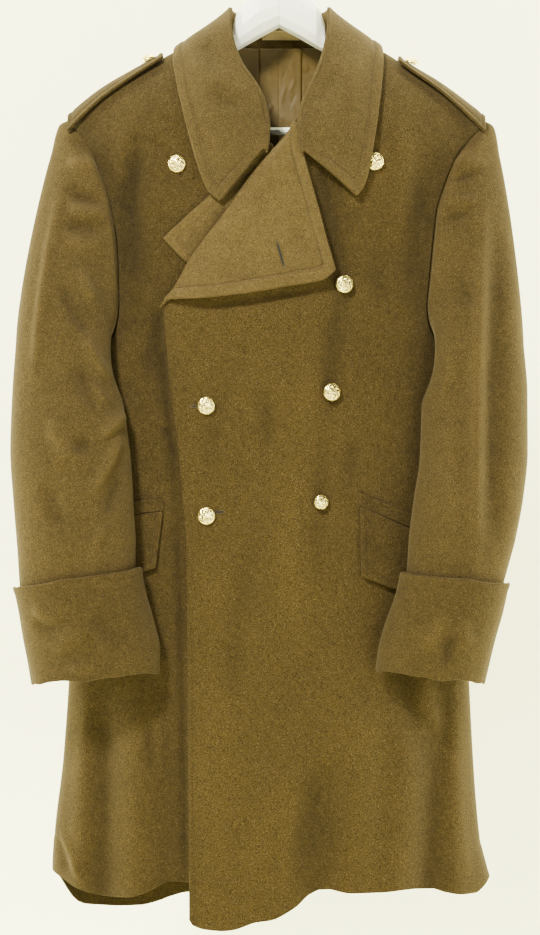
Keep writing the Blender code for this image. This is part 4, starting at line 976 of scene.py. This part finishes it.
def makeSleeves():
    form = sleevePieces
    turn = fullTurn(form["around"])
    c = np.cos(turn)
    s = np.sin(turn)
    upperRows, lowerRows, cuffRows = form["rows"]
    off, lifted = form["seat"]
    leaveX, leaveTop, leaveY, leaveDown, leaveDownTop = form["leave"]
    arriveX, arriveShare = form["arrive"]
    near, more, over, above = form["clear"]
    fullFrom, fullTo, goneAt = form["creaseRows"]
    underarm = coatForm["underarm"]
    for side, out, armhole, rings, cuffRings, creases in (
        ("right", -1.0, coatForm["armholeRight"], form["ringsRight"], form["cuffRight"],
         form["creasesRight"]),
        ("left", 1.0, coatForm["armholeLeft"], form["ringsLeft"], form["cuffLeft"], form["creasesLeft"]),
    ):
        start = armholeLoop(armhole, turn)
        start[:, 0] = start[:, 0] + out * off
        start[:, 2] = start[:, 2] - lifted * (1 - c)
        end = ringAt(rings, 0.0, turn)
        leave = np.stack([out * (leaveX + leaveTop * c), -leaveY * s, leaveDown + leaveDownTop * c], axis=-1)
        reach = np.linalg.norm(end - start, axis=1)
        arrive = np.stack([out * arriveX * c, 0 * c, arriveShare * reach], axis=-1)
        grid = []
        for t in np.linspace(0, 1, upperRows + 1)[:-1] ** form["rowPower"]:
            row = eased(t, start, leave, end, arrive)
            clear = near + more * fade(row[:, 2], underarm, underarm + over)
            low = (row[:, 2] > underarm - above) & (t > 0)
            x, y = outsideBody(row[:, 0], row[:, 1], row[:, 2], clear)
            row[:, 0] = np.where(low, x, row[:, 0])
            row[:, 1] = np.where(low, y, row[:, 1])
            grid.append(row)
        grid.extend(ringAt(rings, share, turn) for share in np.linspace(0, 1, lowerRows))
        inset = smoothCurve((0, 1 / 3, 2 / 3, form["cuffEnd"]), form["insideCuff"])
        for share in np.linspace(0, form["cuffEnd"], cuffRows):
            row = ringAt(cuffRings, share, turn)
            along = np.roll(row, -1, axis=0) - np.roll(row, 1, axis=0)
            away = unit(np.stack([along[:, 1], -along[:, 0], 0 * along[:, 0]], axis=-1))
            if ((row - row.mean(axis=0)) * away).sum() < 0:
                away = -away
            grid.append(row - away * float(inset(share)))
        grid = np.array(grid)
        x = grid[..., 0]
        down = grid[..., 2]
        ways = faceWays(grid, True)
        rise = creaseRise(x, down, creases) * turnedTo(-1, ways)
        rise = rise + creaseRise(np.abs(x), down, form["creasesBack"]) * turnedTo(1, ways)
        number = np.arange(len(grid))[:, None]
        rise = form["creaseGain"][side] * rise * fade(number, 0, fullFrom) * fade(-number, -goneAt, -fullTo)
        full, fullAt, gone, dip, wide = form["head"]
        fromSeam = edgeDistance(grid)["top"]
        upper = fade(-down, -form["headFade"][1], -form["headFade"][0])
        rise = rise + full * fade(fromSeam, 1, fullAt) * (1 - fade(fromSeam, fullAt, gone)) * upper
        rise = rise + dip * np.exp(-((fromSeam / wide) ** 2))
        # the sleeve's creases and head are painted darker in hollows and lighter on ridges
        clothPiece(f"sleeve_{side}", grid, [f"front_{side}_cloth", f"back_{side}_cloth"], sleeveWool,
                   form["thickness"], closed=True, rise=rise, tone=rise * form["creaseShadeShare"])


print("Sleeves")
makeSleeves()

cuffPieces = {
    "around": 128,
    "rows": (110, 3.2, 1.0, 7),
    "thickness": 4.2,
    "gain": 2.8,
    "lip": (0.9, 2.0, 9.0),  # rise of the top edge, full to, gone at
    "waves": [(5, 1.3, 0.4), (9, 0.8, 2.0), (14, 0.4, 1.0)],  # number round the arm, height, start
    "creasesRight": [
        (-292, 830, -258, 842, 2, 5, 1.6), (-290, 846, -256, 856, 2, 5, -1.4),
        (-270, 880, -232, 850, 4, 10, 1.2), (-250, 900, -214, 896, 0, 6, 1.4),
        (-224, 830, -186, 870, 4, 10, -1.2),
    ],
    "creasesLeft": [
        (170, 880, 196, 834, 2, 8, 1.8), (196, 896, 204, 860, 0, 6, -1.8), (222, 880, 214, 840, 0, 8, 1.2),
    ],
}


def makeCuffs():
    form = cuffPieces
    turn = fullTurn(form["around"])
    shares = places(*form["rows"])
    lip, full, gone = form["lip"]
    for side, rings, creases in (
        ("right", sleevePieces["cuffRight"], form["creasesRight"]),
        ("left", sleevePieces["cuffLeft"], form["creasesLeft"]),
    ):
        grid = np.array([ringAt(rings, share, turn) for share in shares])
        rise = creaseRise(grid[..., 0], grid[..., 2], creases) * form["gain"]
        rise = rise * turnedTo(-1, faceWays(grid, True))
        rise = rise + lip * (1 - fade(edgeDistance(grid)["top"], full, gone))
        growing = fade(shares, 0.55, 1)[:, None] - 0.5 * (1 - fade(shares, 0, 0.3))[:, None]
        for number, size, start in form["waves"]:
            grid[..., 2] = grid[..., 2] + size * np.sin(number * turn + start)[None] * growing
        clothPiece(f"cuff_{side}", grid, [f"sleeve_{side}_cloth"], cuffWool, form["thickness"],
                   closed=True, rise=rise, rimSteps=8)


print("Cuffs")
makeCuffs()

collarPiece = {
    "thickness": 4.0,
    "along": 200,
    "tipPoints": 16,
    "across": 28,
    "edgePoints": 18,
    "middleShare": (0.55, 0.58),  # how far from roll to edge the fall's middle lies, in front and behind
    "frontLift": 4.0,
    "overRoll": (5, 4.5),  # how far the roll goes past its line, and below it
    "rollRise": (4.0, 0.4, 9),  # most lean, share of the stand, most of it
    # roll x, y, down, edge x, down, turn over the shoulder (-9: on the front), stand, distance off, lean
    "ribs": [
        (-18, -72, 281, -70, 343, -9, 4, 11, 3), (-16, -70, 266, -84, 329, -9, 6, 11, 3),
        (-17, -65, 240, -97, 294, -9, 10, 10.5, 4), (-26, -58, 208, -109, 250, -9, 15, 9, 5),
        (-48.5, -46, 172, -119, 206, -9, 20, 7, 5), (-59, -29, 132, -124, 174, -9, 25, 6, -0.5),
        (-58, -8, 109, -122, 0, 0.02, 27, 5, -3), (-59, 10, 107, -112, 0, 0.36, 30, 5, -1),
        (-53, 27, 111, -92, 0, 0.66, 34, 6.5, 6), (-31, 37, 115, -54, 0, 0.93, 37, 8, 6),
        (0, 40, 117, 0, 0, 1.04, 35.5, 8.5, 6), (31, 37, 115, 54, 0, 0.93, 37, 8, 6),
        (54, 27, 111, 92, 0, 0.66, 34, 6.5, 6), (60.5, 10, 107, 112, 0, 0.36, 30, 5, -1),
        (60, -8, 109, 121, 0, 0.02, 27, 6, -3), (60, -32, 134, 122, 176, -9, 25, 6, 1),
        (52, -52, 174, 119, 210, -9, 20, 7, 8), (38, -63, 208, 114, 250, -9, 15, 8, 7),
        (29, -70, 232, 107, 292, -9, 10, 9.5, 4), (27.5, -76, 253, 101, 320, -9, 6, 7, 3),
        (31, -81, 284, 91, 337, -9, 4, 7, 3),
    ],
    "quarterTurn": 1.57,
    "belly": 1.0,
    "lift": -0.5,
    "row": 11.0,
    "creases": [
        (72, 186, 42, 232, 3, 8, -4.2), (-84, 210, -38, 232, 3, 10, -4.0), (-92, 150, -70, 190, 0, 11, -3.0),
        (96, 160, 84, 240, 4, 12, 1.6), (-60, 250, -50, 310, 0, 12, 1.2), (60, 260, 76, 300, 0, 10, -1.2),
    ],
}


def throughPoints(points, spots):
    # a smooth line through points; spot 1.5 is halfway from the second to the third
    points = np.asarray(points, float)
    lean = np.gradient(points, axis=0)
    firsts = [min(int(spot), len(points) - 2) for spot in spots]
    return np.array([eased(spot - i, points[i], lean[i], points[i + 1], lean[i + 1])
                     for spot, i in zip(spots, firsts)])


def overShoulder(x, turn, off):
    # a point that stands off the shoulder, turned from its ridge (0) to the coat's side (1) and on down
    side = -1.0 if turn < 0 else 1.0
    drop = coatForm["shoulderDrop"]
    angle = min(abs(turn), 1.0) * math.pi / 2
    down = ridge(x) + drop * (1 - math.cos(angle)) + max(abs(turn) - 1, 0) * drop * collarPiece["quarterTurn"]
    away = np.array([0.0, side * math.sin(angle), -math.cos(angle)])
    return np.array([x, bodyDepth(x, down, side), down], float) + away * off


def makeCollar():
    form = collarPiece
    level = np.array([1, 1, 0])
    inFront, behind = form["middleShare"]
    mostLean, standShare, mostStand = form["rollRise"]
    past, below = form["overRoll"]
    tips = form["tipPoints"]
    spots = np.concatenate([np.linspace(0, 4.2, form["across"]), np.linspace(4.24, 5, form["edgePoints"])])
    grid = []
    for rollX, rollY, rollDown, edgeX, edgeDown, turn, stand, off, lean in form["ribs"]:
        roll = np.array([rollX, rollY, rollDown], float)
        if turn < -5:
            extra = off + (float(frontLead(edgeX, edgeDown)) if edgeX > 0 else 0.0)
            edge = onBody(edgeX, edgeDown, -1, extra)
            midX = (1 - inFront) * rollX + inFront * edgeX
            midDown = (1 - inFront) * rollDown + inFront * edgeDown
            lift = extra + form["frontLift"]
            if edgeX > 0:
                lift = lift + float(frontLead(midX, midDown)) - float(frontLead(edgeX, edgeDown))
            middle = onBody(midX, midDown, -1, lift)
        else:
            edge = overShoulder(edgeX, turn, off)
            out = edge * level
            belly = out / max(np.linalg.norm(out), 1.0) * form["belly"] - np.array([0, 0, form["lift"]])
            middle = (1 - behind) * roll + behind * edge + belly
        away = (middle - roll) * level
        away = away / max(np.linalg.norm(away), 1.0)
        foot = roll - away * lean + np.array([0, 0, stand])
        rise = roll - away * min(lean, mostLean) + np.array([0, 0, min(stand * standShare, mostStand)])
        over = roll + away * past + np.array([0, 0, below])
        grid.append(throughPoints([foot, rise, roll, over, middle, edge], spots))
    last = len(grid) - 1
    spots = np.concatenate([np.linspace(0, 0.9, tips), np.linspace(1, last - 1, form["along"]),
                            np.linspace(last - 0.9, last, tips)])
    grid = throughPoints(np.array(grid), spots)
    onFall = fade(np.linspace(0, 1, grid.shape[1]), 0.4, 0.55)[None]
    insets = dict.fromkeys(("top", "foot", "end"), form["row"])
    spans = {"top": (0.5, 1), "foot": (0.5, 1)}
    rise = creaseRise(grid[..., 0], grid[..., 2], form["creases"]) * onFall * (grid[..., 1] < 0)
    rise = rise + pressedEdge(grid, insets, spans, band=1.7, deep=1.2)
    outer, ways = clothPiece("collar", grid, ["back_left_cloth", "back_right_cloth"], collarWool,
                             form["thickness"], facing=(0, 0, -1), rise=rise, rimSteps=8)
    layStitches("collar_stitches", stitchRuns(outer, ways, insets, spans), thread)


print("Collar")
makeCollar()

lapelPieces = {
    "thickness": {"left": 4.4, "right": 3.2},
    "columns": {"left": (150, 2.2, 0.9, 15), "right": (120, 2.4, 1.0, 16)},
    "rows": {"left": (200, 2.2, 0.9, 18), "right": (200, 2.6)},
    "left": {  # x, down
        "roll": [(18, 253), (9, 269), (-9, 288), (-34, 318), (-68, 366), (-87, 390), (-105, 416), (-120, 444),
                 (-137, 470)],
        "outer": [(20.5, 254), (24, 266), (26, 284), (29.5, 298), (43, 348), (59.5, 413), (63, 427)],
        "foot": [(-137, 470), (-125, 461), (-95, 460), (-47, 455), (13, 445), (51, 437.5), (63, 427)],
    },
    "right": {
        "roll": [(-9, 276), (2, 320), (16, 370), (34, 410), (50, 430)],
        "outer": [(-24, 284), (-52, 310), (-79, 336), (-107, 361), (-136, 388)],
        "foot": [(50, 430), (0, 440), (-60, 437), (-108, 417), (-136, 388)],
    },
    "leftOff": (3.4, 5.4, 2.2, 3.6),  # at the roll, added beside it, lost outside, added at its foot
    "rightOff": 3.6,
    # painted shadow that the collar and the left lapel cast on the right lapel; it changes only the colour
    "shadeUnderCollar": [(-4, 284, -104, 424, 0, 18, -6.0)],
    "rowEnd": 11.0,
    "rowFoot": {"left": 14.0, "right": 11.0},
    "creases": [
        (-14, 324, 2, 322, 0, 9, -1.8), (-40, 380, 10, 400, 6, 16, 1.6), (20, 360, 40, 420, 3, 10, -1.6),
        (-70, 420, -20, 436, 3, 10, -1.2), (2, 290, 34, 287, 0, 1.2, -0.9), (-60, 400, -30, 376, 3, 8, -1.0),
    ],
}


def makeLapels():
    form = lapelPieces
    for side in ("left", "right"):
        roll, outer, foot = (form[side][key] for key in ("roll", "outer", "foot"))
        us = places(*form["columns"][side])
        vs = places(*form["rows"][side])
        x, down = fillOutline((roll[0], outer[0]), foot, roll, outer, us, vs)
        insets = {"end": form["rowEnd"], "foot": form["rowFoot"][side]}
        if side == "left":
            atRoll, beside, lost, atFoot = form["leftOff"]
            b = us[None, :]
            a = vs[:, None]
            off = atRoll + beside * fade(b, 0, 0.3) - lost * fade(b, 0.5, 1)
            off = off + atFoot * fade(a, 0.72, 1) * fade(b, 0.02, 0.2)
            grid = onBody(x, down, -1, frontLead(x, down) + off)
            rise = creaseRise(x, down, form["creases"]) + pressedEdge(grid, insets, band=2.4, deep=1.3)
            tone = rise
        else:
            grid = onBody(x, down, -1, form["rightOff"])
            rise = pressedEdge(grid, insets)
            # painted shadow under the collar, added to the painted shade of the edge groove
            tone = rise + creaseRise(x, down, form["shadeUnderCollar"])
        sewn = clothPiece(f"lapel_{side}", grid, [f"front_{side}_cloth"], facingWool, form["thickness"][side],
                          facing=(0, -1, 0), rise=rise, tone=tone, rimSteps=8 if side == "left" else 6)
        surfaces[f"lapel_{side}"] = sewn
        layStitches(f"lapel_{side}_stitches", stitchRuns(*sewn, insets), thread)


print("Lapels")
makeLapels()

pocketPieces = {
    "left": {  # top and foot edges, x and down
        "flap": ([(97, 711), (156, 738), (206, 760)], [(98, 792), (140, 808), (200, 822)]),
        "welt": ([(95, 694), (148, 716), (204, 740)], [(96, 708), (150, 732), (205, 755)]),
    },
    "right": {
        "flap": ([(-140, 717), (-172, 722), (-214, 738)], [(-148, 782), (-176, 792), (-216, 806)]),
        "welt": ([(-138, 702), (-172, 704), (-212, 716)], [(-139, 714), (-172, 718), (-213, 732)]),
    },
    "columns": (110, 2.4, 1.0, 10),
    "rows": {"flap": (80, 2.2, 1.0, 10), "welt": (14, 2.2, 1.0, 4)},
    "insets": {"flap": {"start": 7.0, "end": 7.0, "foot": 7.0}, "welt": {"top": 4.0}},
    "off": {"flap": 4.0, "welt": 2.8},
    "curl": {"flap": 2.2, "welt": 0.0},
    "thickness": {"flap": 3.2, "welt": 2.4},
}


def makePockets():
    form = pocketPieces
    us = places(*form["columns"])
    for side in ("left", "right"):
        for kind in ("flap", "welt"):
            top, foot = form[side][kind]
            vs = places(*form["rows"][kind])
            x, down = fillOutline(top, foot, (top[0], foot[0]), (top[-1], foot[-1]), us, vs)
            forward = frontLead(x, down) if side == "left" else 0.0
            grid = onBody(x, down, -1, form["off"][kind] + forward)
            rise = pressedEdge(grid, form["insets"][kind], band=1.1, deep=0.8)
            rise = rise + form["curl"][kind] * fade(np.linspace(0, 1, len(grid)), 0.45, 1)[:, None]
            clothPiece(f"{kind}_{side}", grid, [f"front_{side}_cloth"], bodyWool, form["thickness"][kind],
                       facing=(0, -1, 0), rise=rise, rimSteps=6)


print("Pockets")
makePockets()

strapPieces = {
    "thickness": 3.6,
    "row": 5.5,
    "sides": [("right", -254.0, -142.0), ("left", 248.0, 146.0)],  # x at the sleeve head and at the collar
    "depth": (-24.0, 22.0),
    "columns": (46, 2.2, 1.0, 8),
    "rows": (110, 2.4, 1.0, 8),
    "lift": (4.5, 2.0, 3),  # off the shoulder, more at the collar, how soon it is lost
    "bend": (0.012, 0.022, 1.5),  # round the shoulder, more at the sleeve head, how late it comes
}


def makeStraps():
    form = strapPieces
    front, back = form["depth"]
    ys = front + (back - front) * places(*form["columns"])
    for side, tip, inner in form["sides"]:
        xs = tip + (inner - tip) * places(*form["rows"])
        share = ((xs - inner) / (tip - inner))[:, None]
        least, more, power = form["lift"]
        lift = least + more * (1 - share) ** power
        least, more, power = form["bend"]
        down = ridge(xs)[:, None] - lift + (least + more * share**power) * ys[None] ** 2
        grid = np.stack([xs[:, None] + 0 * down, ys[None] + 0 * down, down], axis=-1)
        insets = dict.fromkeys(edgeSides, form["row"])
        sewn = clothPiece(f"strap_{side}", grid, [f"front_{side}_cloth", f"back_{side}_cloth"], bodyWool,
                          form["thickness"], facing=(0, 0, -1), rise=pressedEdge(grid, insets, band=0.7),
                          rimSteps=6)
        layStitches(f"strap_{side}_stitches", stitchRuns(*sewn, insets), thread)


print("Shoulder straps")
makeStraps()

liningPiece = {
    "thickness": 0.9,
    "top": 152.8,
    "foot": 470.0,
    "half": 125.0,
    "seen": 48.0,
    "columns": (22, 104),  # on each side of what is seen, and within it
    "rows": 120,
    "belowRidge": 18.0,
    "offBack": 4.4,
    "tuck": (-0.8, 1.6, 1.0),  # depth beside the pleat's edges, distance from them, width
    "pleat": (-23.0, 27.0, 2.0),  # edges of the middle strip, how far it stands forward
    "seam": (0.2, 0.9, -0.5),  # x, width, depth
    "creases": [
        (16, 164, 20, 190, 2, 2.4, 0.8), (20, 186, 12, 206, -1, 2.0, 0.8), (32, 166, 38, 186, 2, 2.5, 0.9),
        (30, 184, 40, 176, 1, 2.0, -0.8), (9, 196, 3, 220, 1, 2.4, 0.7), (-6, 218, -16, 236, 1, 2.2, 0.8),
        (-14, 205, -6, 226, -1, 2.0, -0.6), (14, 214, 22, 232, 1, 2.2, 0.8), (-36, 176, -28, 214, 1, 4, -0.8),
        (-12, 172, -9, 196, 0, 3, 0.5), (2, 232, 16, 244, 0, 2.2, 0.8), (36, 196, 30, 232, 0, 3.5, -0.7),
        (22, 204, 14, 224, 1, 1.8, -0.6), (-2, 222, 6, 240, 1, 1.8, 0.6), (10, 176, 4, 192, 1, 2.0, -0.5),
    ],
    "loop": (-20.0, 25.0, 131.3, 141.5, 31.05, 1.5),  # x, down of the tape, its y and its bow
    "loopThickness": 1.2,
    "loopInset": 3.0,
}


def makeLining():
    form = liningPiece
    seen = form["seen"]
    outside, inside = form["columns"]
    sides = np.linspace(seen, form["half"], outside)[1:]
    xs = np.concatenate([-sides[::-1], np.linspace(-seen, seen, inside), sides])
    x, down = np.meshgrid(xs, np.linspace(form["top"], form["foot"], form["rows"]))
    down = np.maximum(down, ridge(x) + form["belowRidge"])
    left, right, forward = form["pleat"]
    pleat = forward * (fade(x, left - 0.9, left + 0.5) - fade(x, right - 0.5, right + 0.9))
    deep, beside, wide = form["tuck"]
    for edge in (left - beside, right + beside):
        pleat = pleat + deep * np.exp(-(((x - edge) / wide) ** 2))
    spot, wide, deep = form["seam"]
    y = bodyDepth(x, down, 1) - form["offBack"] - pleat - deep * np.exp(-(((x - spot) / wide) ** 2))
    clothPiece("back_lining", np.stack([x, y, down], axis=-1), ["hanger_body"], sateen, form["thickness"],
               "lining", facing=(0, -1, 0), rise=creaseRise(x, down, form["creases"]))
    left, right, top, foot, y, bow = form["loop"]
    x, down = np.meshgrid(np.linspace(left, right, 40), np.linspace(top, foot, 12))
    middle = (left + right) / 2
    y = y - bow * (1 - ((x - middle) / (right - middle)) ** 2) + 0 * down
    sewn = clothPiece("hanger_loop", np.stack([x, y, down], axis=-1), ["collar_cloth"], tape,
                      form["loopThickness"], "lining", facing=(0, -1, 0))
    insets = dict.fromkeys(("start", "end"), form["loopInset"])
    layStitches("hanger_loop_stitches", stitchRuns(*sewn, insets), thread)


print("Lining")
makeLining()

buttonholes = {
    "width": 1.9,
    "depth": 0.5,
    "lift": 0.12,
    "spots": 13,  # along the slit
    "reach": (0.8, 2.3),  # start and end of each stitch across the lip
    "stitchStep": 1.05,
    "fan": (1.2, 5),  # half angle of the stitches round an end, their number
    "holes": [  # name, panel, x, down of one end, x, down of the other, thread
        ("lapel_hole", "lapel_left", -2.6, 394.0, 5.6, 423.0, greenThread),
        ("upper_hole", "front_left", -105.0, 590.0, -80.0, 589.0, greenThread),
        ("lower_hole", "front_left", -92.0, 717.5, -66.0, 716.0, greenThread),
    ],
}


def surfaceAt(outer, ways, x, down):
    # point and way of a panel's outside at x and down, from its four nearest points
    gap = ((outer[..., 0] - x) ** 2 + (outer[..., 2] - down) ** 2).ravel()
    near = np.argpartition(gap, 4)[:4]
    weight = 1 / (gap[near] + 0.02)
    weight = weight / weight.sum()
    y = weight @ outer.reshape(-1, 3)[near, 1]
    return np.concatenate([[x, y, down], weight @ ways.reshape(-1, 3)[near]])


def makeButtonholes():
    # a near-black slit that paints the shadow inside the cut, with close thread across both lips and fanned
    # round its ends
    form = buttonholes
    spots = np.linspace(0, 1, form["spots"])
    corners = ((form["lift"], 1), (form["lift"], -1), (-form["depth"], -1), (-form["depth"], 1))
    wide, stitches = form["fan"]
    for name, panel, x0, down0, x1, down1, look in form["holes"]:
        outer, ways = surfaces[panel]
        length, ux, ud = heading(x0, down0, x1, down1)
        points = []
        for t in spots:
            half = form["width"] / 2 * math.sqrt(max(1 - (2 * t - 1) ** 4, 0.01))
            for lift, way in corners:
                x = x0 + (x1 - x0) * t - ud * half * way
                at = surfaceAt(outer, ways, x, down0 + (down1 - down0) * t + ux * half * way)
                points.append(at[:3] + at[3:] * lift)
        faces = tubeFaces(len(spots), len(corners))
        newMesh(f"{name}_slit", points, rightWayOut(points, faces), slitShadow)
        lines = []  # x, down and way of each stitch
        for t in np.arange(0.5, length, form["stitchStep"]):
            for way in (-1, 1):
                lines.append((x0 + ux * t, down0 + ud * t, -ud * way, ux * way))
        for end, sign in ((0, -1), (length, 1)):
            for angle in np.linspace(-wide, wide, stitches):
                c = math.cos(angle) * sign
                s = math.sin(angle)
                lines.append((x0 + ux * end, down0 + ud * end, ux * c - ud * s, ud * c + ux * s))
        points = []
        faces = []
        reach = np.linspace(*form["reach"], len(sewing["profile"]))
        for x, down, dx, dd in lines:
            line = [surfaceAt(outer, ways, x + dx * r, down + dd * r) for r in reach]
            addStitch(points, faces, np.array(line))
        newMesh(f"{name}_thread", points, rightWayOut(points, faces), look)


print("Buttonholes")
makeButtonholes()

buttonPieces = {
    "rings": 30,
    "around": 108,
    "rim": (0.90, 0.07, 0.55),  # share of the radius, width, rise
    "boss": (0.16, 0.9),  # width, rise
    "petals": (5, 0.38, 0.15, 1.25, 1.3),  # number, share of the radius, width, rise, twist
    "leaves": (9, 0.66, 0.12, 0.95, -2.4),
    "beads": (26, 0.82, 0.045, 0.40, 0.0),
    "lobePower": 1.6,
    "twistGain": 6,
    "patternRadius": 11.2,  # the rises above are for a button of this radius
    "strapAxis": (0.45, -0.35, -1.0),
    "domePower": 0.62,
    "wall": 0.16,  # share of the height that is upright
    "back": (0.05, 0.97, 0.6),  # height of the flat back, shares of the radius of its two rings
}


def makeButtons():
    # stamped domed buttons: a boss, two wreaths, a ring of beads and a rolled rim
    form = buttonPieces
    count = form["around"]
    turn = fullTurn(count)
    for name in [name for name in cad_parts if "button" in name]:
        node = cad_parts[name]
        spots = np.array([node.matrix_world @ vertex.co for vertex in node.data.vertices]) / mm
        spots[:, 2] = -spots[:, 2]
        centre = (spots.min(axis=0) + spots.max(axis=0)) / 2
        if "strap" in name:
            axis = np.array(form["strapAxis"]) * ((-1 if centre[0] < 0 else 1), 1, 1)
        else:
            axis = onBody(centre[0], centre[2], -1, 10.0) - onBody(centre[0], centre[2], -1, 3.0)
        axis = unit(axis)
        heights = spots @ axis
        flat = spots - heights[:, None] * axis
        middle = (flat.min(axis=0) + flat.max(axis=0)) / 2
        middle = middle - axis * (middle @ axis)
        radius = np.linalg.norm(flat - middle, axis=1).max()
        tall = heights.max() - heights.min()
        side = unit(np.cross(axis, (0, 0, 1.0)))
        spokes = radius * (np.cos(turn)[:, None] * side + np.sin(turn)[:, None] * np.cross(axis, side))
        size = radius / form["patternRadius"]
        points = []
        for share in np.linspace(0.02, 1, form["rings"]):
            dome = max(1 - share**2, 0.0) ** form["domePower"]
            level = tall * (form["wall"] + (1 - form["wall"]) * dome) + 0 * turn
            place, wide, rise = form["rim"]
            level = level + size * rise * math.exp(-(((share - place) / wide) ** 2))
            wide, rise = form["boss"]
            level = level + size * rise * math.exp(-((share / wide) ** 2))
            for key in ("petals", "leaves", "beads"):
                number, place, wide, rise, twist = form[key]
                lobes = 0.5 + 0.5 * np.cos(number * turn + twist * share * form["twistGain"])
                lobes = lobes ** form["lobePower"]
                level = level + size * rise * lobes * math.exp(-(((share - place) / wide) ** 2))
            points.extend(middle + axis * (heights.min() + level)[:, None] + spokes * share)
        backHeight, *backShares = form["back"]
        for share in backShares:
            points.extend(middle + axis * (heights.min() + backHeight) + spokes * share)
        faces = tubeFaces(form["rings"] + len(backShares), count)
        piece = newMesh(f"{name}_gilt", points, rightWayOut(points, faces), gilt)
        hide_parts(name)


print("Buttons")
makeButtons()

print("Hanger")
for name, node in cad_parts.items():
    if not node.hide_render:
        node.data.materials.clear()
        node.data.materials.append(hookSteel if name == "hanger_hook" else whitePlastic)

studio = {
    "cameraX": -0.0108,
    "cameraZ": -0.663,
    "distance": 5.0,
    "frameHeight": 1.122,
    "framePlane": 0.05,
    "sensor": 24.0,
    "wallY": 0.75,
    "floorZ": -1.29,
    "reach": 6.0,  # of the wall and the floor
    "bend": (0.35, 16),  # radius between wall and floor, steps
    "paper": ((0.95, 0.95, 0.70), (0.97, 0.97, 0.73)),
    "air": 0.19,
    "airColour": (1.0, 1.0, 0.97, 1),
    "lights": [  # name, place, aim, size, power, colour
        ("key", (-1.2, -2.3, 1.6), (0, 0, -0.55), (0.5, 0.5), 360, (1.0, 0.98, 0.86)),
        ("fill", (1.9, -2.4, -0.2), (0, 0, -0.65), (1.4, 1.4), 66, (1.0, 0.99, 0.90)),
        ("backdropLeft", (-1.8, 0.15, -0.5), (-0.1, 0.75, -0.6), (0.3, 2.0), 130, (1.0, 0.98, 0.66)),
        ("backdropRight", (1.8, 0.15, -0.5), (0.1, 0.75, -0.6), (0.3, 2.0), 140, (1.0, 0.98, 0.66)),
        ("backdropTop", (0, 0.3, 1.5), (0, 0.75, -0.5), (3.0, 0.4), 160, (1.0, 0.98, 0.66)),
    ],
}


def makeStage():
    reach = studio["reach"]
    wall = studio["wallY"]
    floor = studio["floorZ"]
    bend, steps = studio["bend"]
    profile = [(-reach, floor)]
    for angle in np.linspace(0, math.pi / 2, steps + 1):
        profile.append((wall - bend + bend * math.sin(angle), floor + bend - bend * math.cos(angle)))
    profile.append((wall, reach))
    points = []
    faces = []
    for i, (y, z) in enumerate(profile):
        points += [(-reach, y, z), (reach, y, z)]
        if i:
            faces.append((2 * i - 2, 2 * i - 1, 2 * i + 1, 2 * i))
    mesh = bpy.data.meshes.new("backdrop")
    mesh.from_pydata(points, [], faces)
    mesh.shade_smooth()
    backdrop = bpy.data.objects.new("backdrop", mesh)
    bpy.context.scene.collection.objects.link(backdrop)
    paper = Look("pale_paper", Roughness=0.9)
    paper.feed(Base_Color=paper.blend(paper.noise(paper.place(), 3.0, 3.0, 0.5), *studio["paper"]))
    behind = paper.node("ShaderNodeNewGeometry", output=6)  # the wall is clear from behind, for back views
    clear = paper.node("ShaderNodeBsdfTransparent")
    both = paper.node("ShaderNodeMixShader", {}, [behind, Wire(paper, paper.shader.outputs[0]), clear])
    paper.tree.links.new(both.socket, paper.tree.nodes["Material Output"].inputs["Surface"])
    mesh.materials.append(paper.material)


def areaLight(name, spot, aim, size, power, colour):
    data = bpy.data.lights.new(name, "AREA")
    data.shape = "RECTANGLE"
    data.size = size[0]
    data.size_y = size[1]
    data.energy = power
    data.color = colour
    lamp = bpy.data.objects.new(name, data)
    bpy.context.scene.collection.objects.link(lamp)
    lamp.location = spot
    lamp.rotation_euler = (Vector(aim) - Vector(spot)).to_track_quat("-Z", "Y").to_euler()


print("Stage, lights and camera")
makeStage()
for light in studio["lights"]:
    areaLight(*light)
world = bpy.data.worlds.new("studio")
bpy.context.scene.world = world
world.use_nodes = True
air = world.node_tree.nodes["Background"]
air.inputs["Color"].default_value = studio["airColour"]
air.inputs["Strength"].default_value = studio["air"]
cameraData = bpy.data.cameras.new("front")
cameraData.sensor_fit = "VERTICAL"
cameraData.sensor_height = studio["sensor"]
cameraData.lens = studio["sensor"] * (studio["distance"] - studio["framePlane"]) / studio["frameHeight"]
camera = bpy.data.objects.new("front", cameraData)
bpy.context.scene.collection.objects.link(camera)
camera.location = (studio["cameraX"], -studio["distance"], studio["cameraZ"])
camera.rotation_euler = (math.pi / 2, 0, 0)
bpy.context.scene.camera = camera
